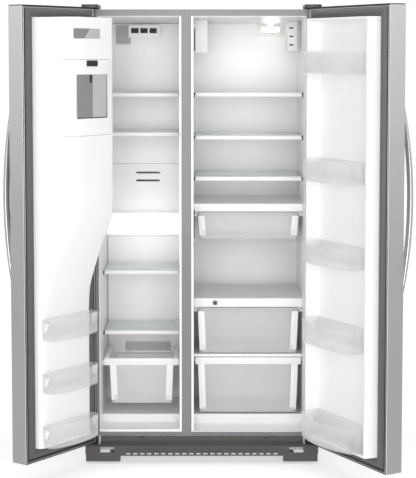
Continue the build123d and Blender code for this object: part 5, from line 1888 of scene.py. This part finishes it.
# ---------------------------------------------------------------- the studio
@dataclass(frozen=True)
class Studio:
    """Pale floor, soft light and the camera."""

    eye: tuple[float, float, float] = (0.0241, -5.5897, 1.5826)
    tilt: float = 4.2817
    lens: float = 109.63
    shift: float = -0.155
    floor_half: float = 14.0

    def build(self) -> None:
        """Set up the whole studio."""
        self.build_floor()
        self.build_world()
        self.build_lights()
        self.build_camera()
        bpy.context.scene.view_settings.view_transform = "Standard"
        bpy.context.scene.view_settings.look = "None"

    def build_floor(self) -> None:
        """Lay the floor, with an inset ring of faces at its edge."""
        bpy.ops.object.select_all(action="DESELECT")
        bpy.ops.mesh.primitive_plane_add(size=2 * self.floor_half, location=(0, 0, 0))
        floor = settle("studio_floor")
        with editing(floor):
            bpy.ops.mesh.select_all(action="SELECT")
            bpy.ops.mesh.inset(thickness=0.5)
        board = Board("studio_floor")
        glossy_ray_mask = board.add("ShaderNodeLightPath").outputs["Is Glossy Ray"]
        # Painted reflection: glossy rays see the floor dark grey, so the steel reflects a darker floor
        # than the camera sees.
        board.link("Base Color", board.blend(glossy_ray_mask, (0.94, 0.94, 0.94), (0.32, 0.32, 0.32)))
        board.shader.inputs["Roughness"].default_value = 0.9
        board.shader.inputs["Specular IOR Level"].default_value = 0.0
        board.shader.inputs["Emission Color"].default_value = (1.0, 1.0, 1.0, 1.0)
        board.shader.inputs["Emission Strength"].default_value = 0.42
        floor.data.materials.append(board.material)
        log.info("floor laid")

    def build_world(self) -> None:
        """Give the room a white backdrop that is dimmer low down in reflections."""
        world = bpy.data.worlds.new("studio")
        bpy.context.scene.world = world
        world.use_nodes = True
        nodes, links = world.node_tree.nodes, world.node_tree.links
        shader = nodes["Background"]
        coords = nodes.new("ShaderNodeTexCoord")
        split = nodes.new("ShaderNodeSeparateXYZ")
        links.new(coords.outputs["Generated"], split.inputs[0])
        ramp = nodes.new("ShaderNodeMapRange")
        ramp.inputs["From Min"].default_value = -0.3
        ramp.inputs["From Max"].default_value = 0.1
        ramp.inputs["To Min"].default_value = 0.1
        ramp.inputs["To Max"].default_value = 1.35
        links.new(split.outputs["Z"], ramp.inputs["Value"])
        path = nodes.new("ShaderNodeLightPath")
        even = nodes.new("ShaderNodeMix")
        even.data_type = "FLOAT"
        even.inputs["B"].default_value = 0.5
        links.new(path.outputs["Is Diffuse Ray"], even.inputs["Factor"])
        links.new(ramp.outputs["Result"], even.inputs["A"])
        mix = nodes.new("ShaderNodeMix")
        mix.data_type = "FLOAT"
        mix.inputs["B"].default_value = 1.05
        links.new(path.outputs["Is Camera Ray"], mix.inputs["Factor"])
        links.new(even.outputs["Result"], mix.inputs["A"])
        links.new(mix.outputs["Result"], shader.inputs["Strength"])
        shader.inputs["Color"].default_value = (1.0, 1.0, 1.0, 1.0)

    def build_lights(self) -> None:
        """Hang one wide soft light in front, one above and the compartments' small lights."""
        self.area("front_light", (0.0, -7.5, 1.6), (90.0, 0.0, 0.0), 4.6, 300.0)
        self.area("top_light", (0.0, -0.6, 4.2), (0.0, 0.0, 0.0), 3.2, 22.0)
        self.area(
            "fridge_lamp_light", (MIDDLE + 0.18, FRONT + 0.3, 1.64), (0.0, 0.0, 0.0), 0.16, 0.09
        )
        self.area(
            "freezer_lamp_light", (MIDDLE - 0.24, FRONT + 0.36, 0.887), (90.0, 0.0, 0.0), 0.22, 0.04
        )

    def area(
        self,
        name: str,
        place: tuple[float, float, float],
        turn: tuple[float, float, float],
        size: float,
        power: float,
    ) -> None:
        """Add one square soft light.

        Args:
            name: The light's name.
            place: Where it hangs, in metres.
            turn: Its turn in degrees.
            size: The side of its square.
            power: Its power in watts.
        """
        bpy.ops.object.light_add(
            type="AREA", location=place, rotation=[math.radians(part) for part in turn]
        )
        light = bpy.context.active_object
        light.name = name
        light.data.size = size
        light.data.energy = power

    def build_camera(self) -> None:
        """Set the camera at standing eye height."""
        eye = Vector(self.eye) + Vector((MIDDLE, FRONT, 0))
        bpy.ops.object.camera_add(location=eye, rotation=(math.radians(90.0 - self.tilt), 0.0, 0.0))
        camera = bpy.context.active_object
        camera.data.lens = self.lens
        camera.data.shift_y = self.shift
        camera.data.clip_end = 60.0
        bpy.context.scene.camera = camera


FREEZER_WIDTH = 394.7
FRIDGE_WIDTH = 513.3
FREEZER_BINS = ((146.0, 227.0), (348.0, 421.0), (544.0, 622.0))
FRIDGE_BINS = ((150.0, 240.0), (515.0, 597.0), (817.0, 890.0), (1123.0, 1200.0), (1518.0, 1598.0))
DRAWER_X = (-17.0, 383.0)


def main() -> None:
    """Build every sub-assembly in order."""
    logging.basicConfig(level=logging.INFO, format="%(name)s: %(message)s")
    FrameDress().dress()
    for side, width in ((Side.LEFT, FREEZER_WIDTH), (Side.RIGHT, FRIDGE_WIDTH)):
        DoorSeal(side, width).build()
        Handle(side, width).build()
        DoorTrim(side, width).build()
    DoorBins(Side.LEFT, FREEZER_BINS, (66.0, 334.0), (30.3, 72.0), 22.0, 3.0).build()
    DoorBins(Side.RIGHT, FRIDGE_BINS, (84.0, 420.0), (0.3, 84.0), 34.0).build()
    Bulge().build()
    IceModule().build()
    Dispenser().build()
    Shelves().build()
    Drawer(DrawerKind.DELI, DRAWER_X, (120.0, 420.0), (860.0, 968.0), 11.0).build()
    Drawer(DrawerKind.UPPER, DRAWER_X, (120.0, 450.0), (404.0, 588.0), 11.0).build()
    lower_bar = ((-26.0, 392.0), (362.0, 390.0))
    freezer_bar = ((-388.0, -92.0), (358.0, 386.0))
    Drawer(DrawerKind.LOWER, DRAWER_X, (120.0, 402.0), (165.0, 390.0), 11.0, lower_bar).build()
    Drawer(
        DrawerKind.FREEZER,
        (-368.0, -112.0),
        (120.0, 402.0),
        (202.0, 386.0),
        18.0,
        freezer_bar,
        344.0,
    ).build()
    FreezerFittings().build()
    FridgeFittings().build()
    WallRails().build()
    DrawerCovers().build()
    OutsideFittings().build()
    GrilleInsert().build()
    Studio().build()


if __name__ == "__main__":
    main()
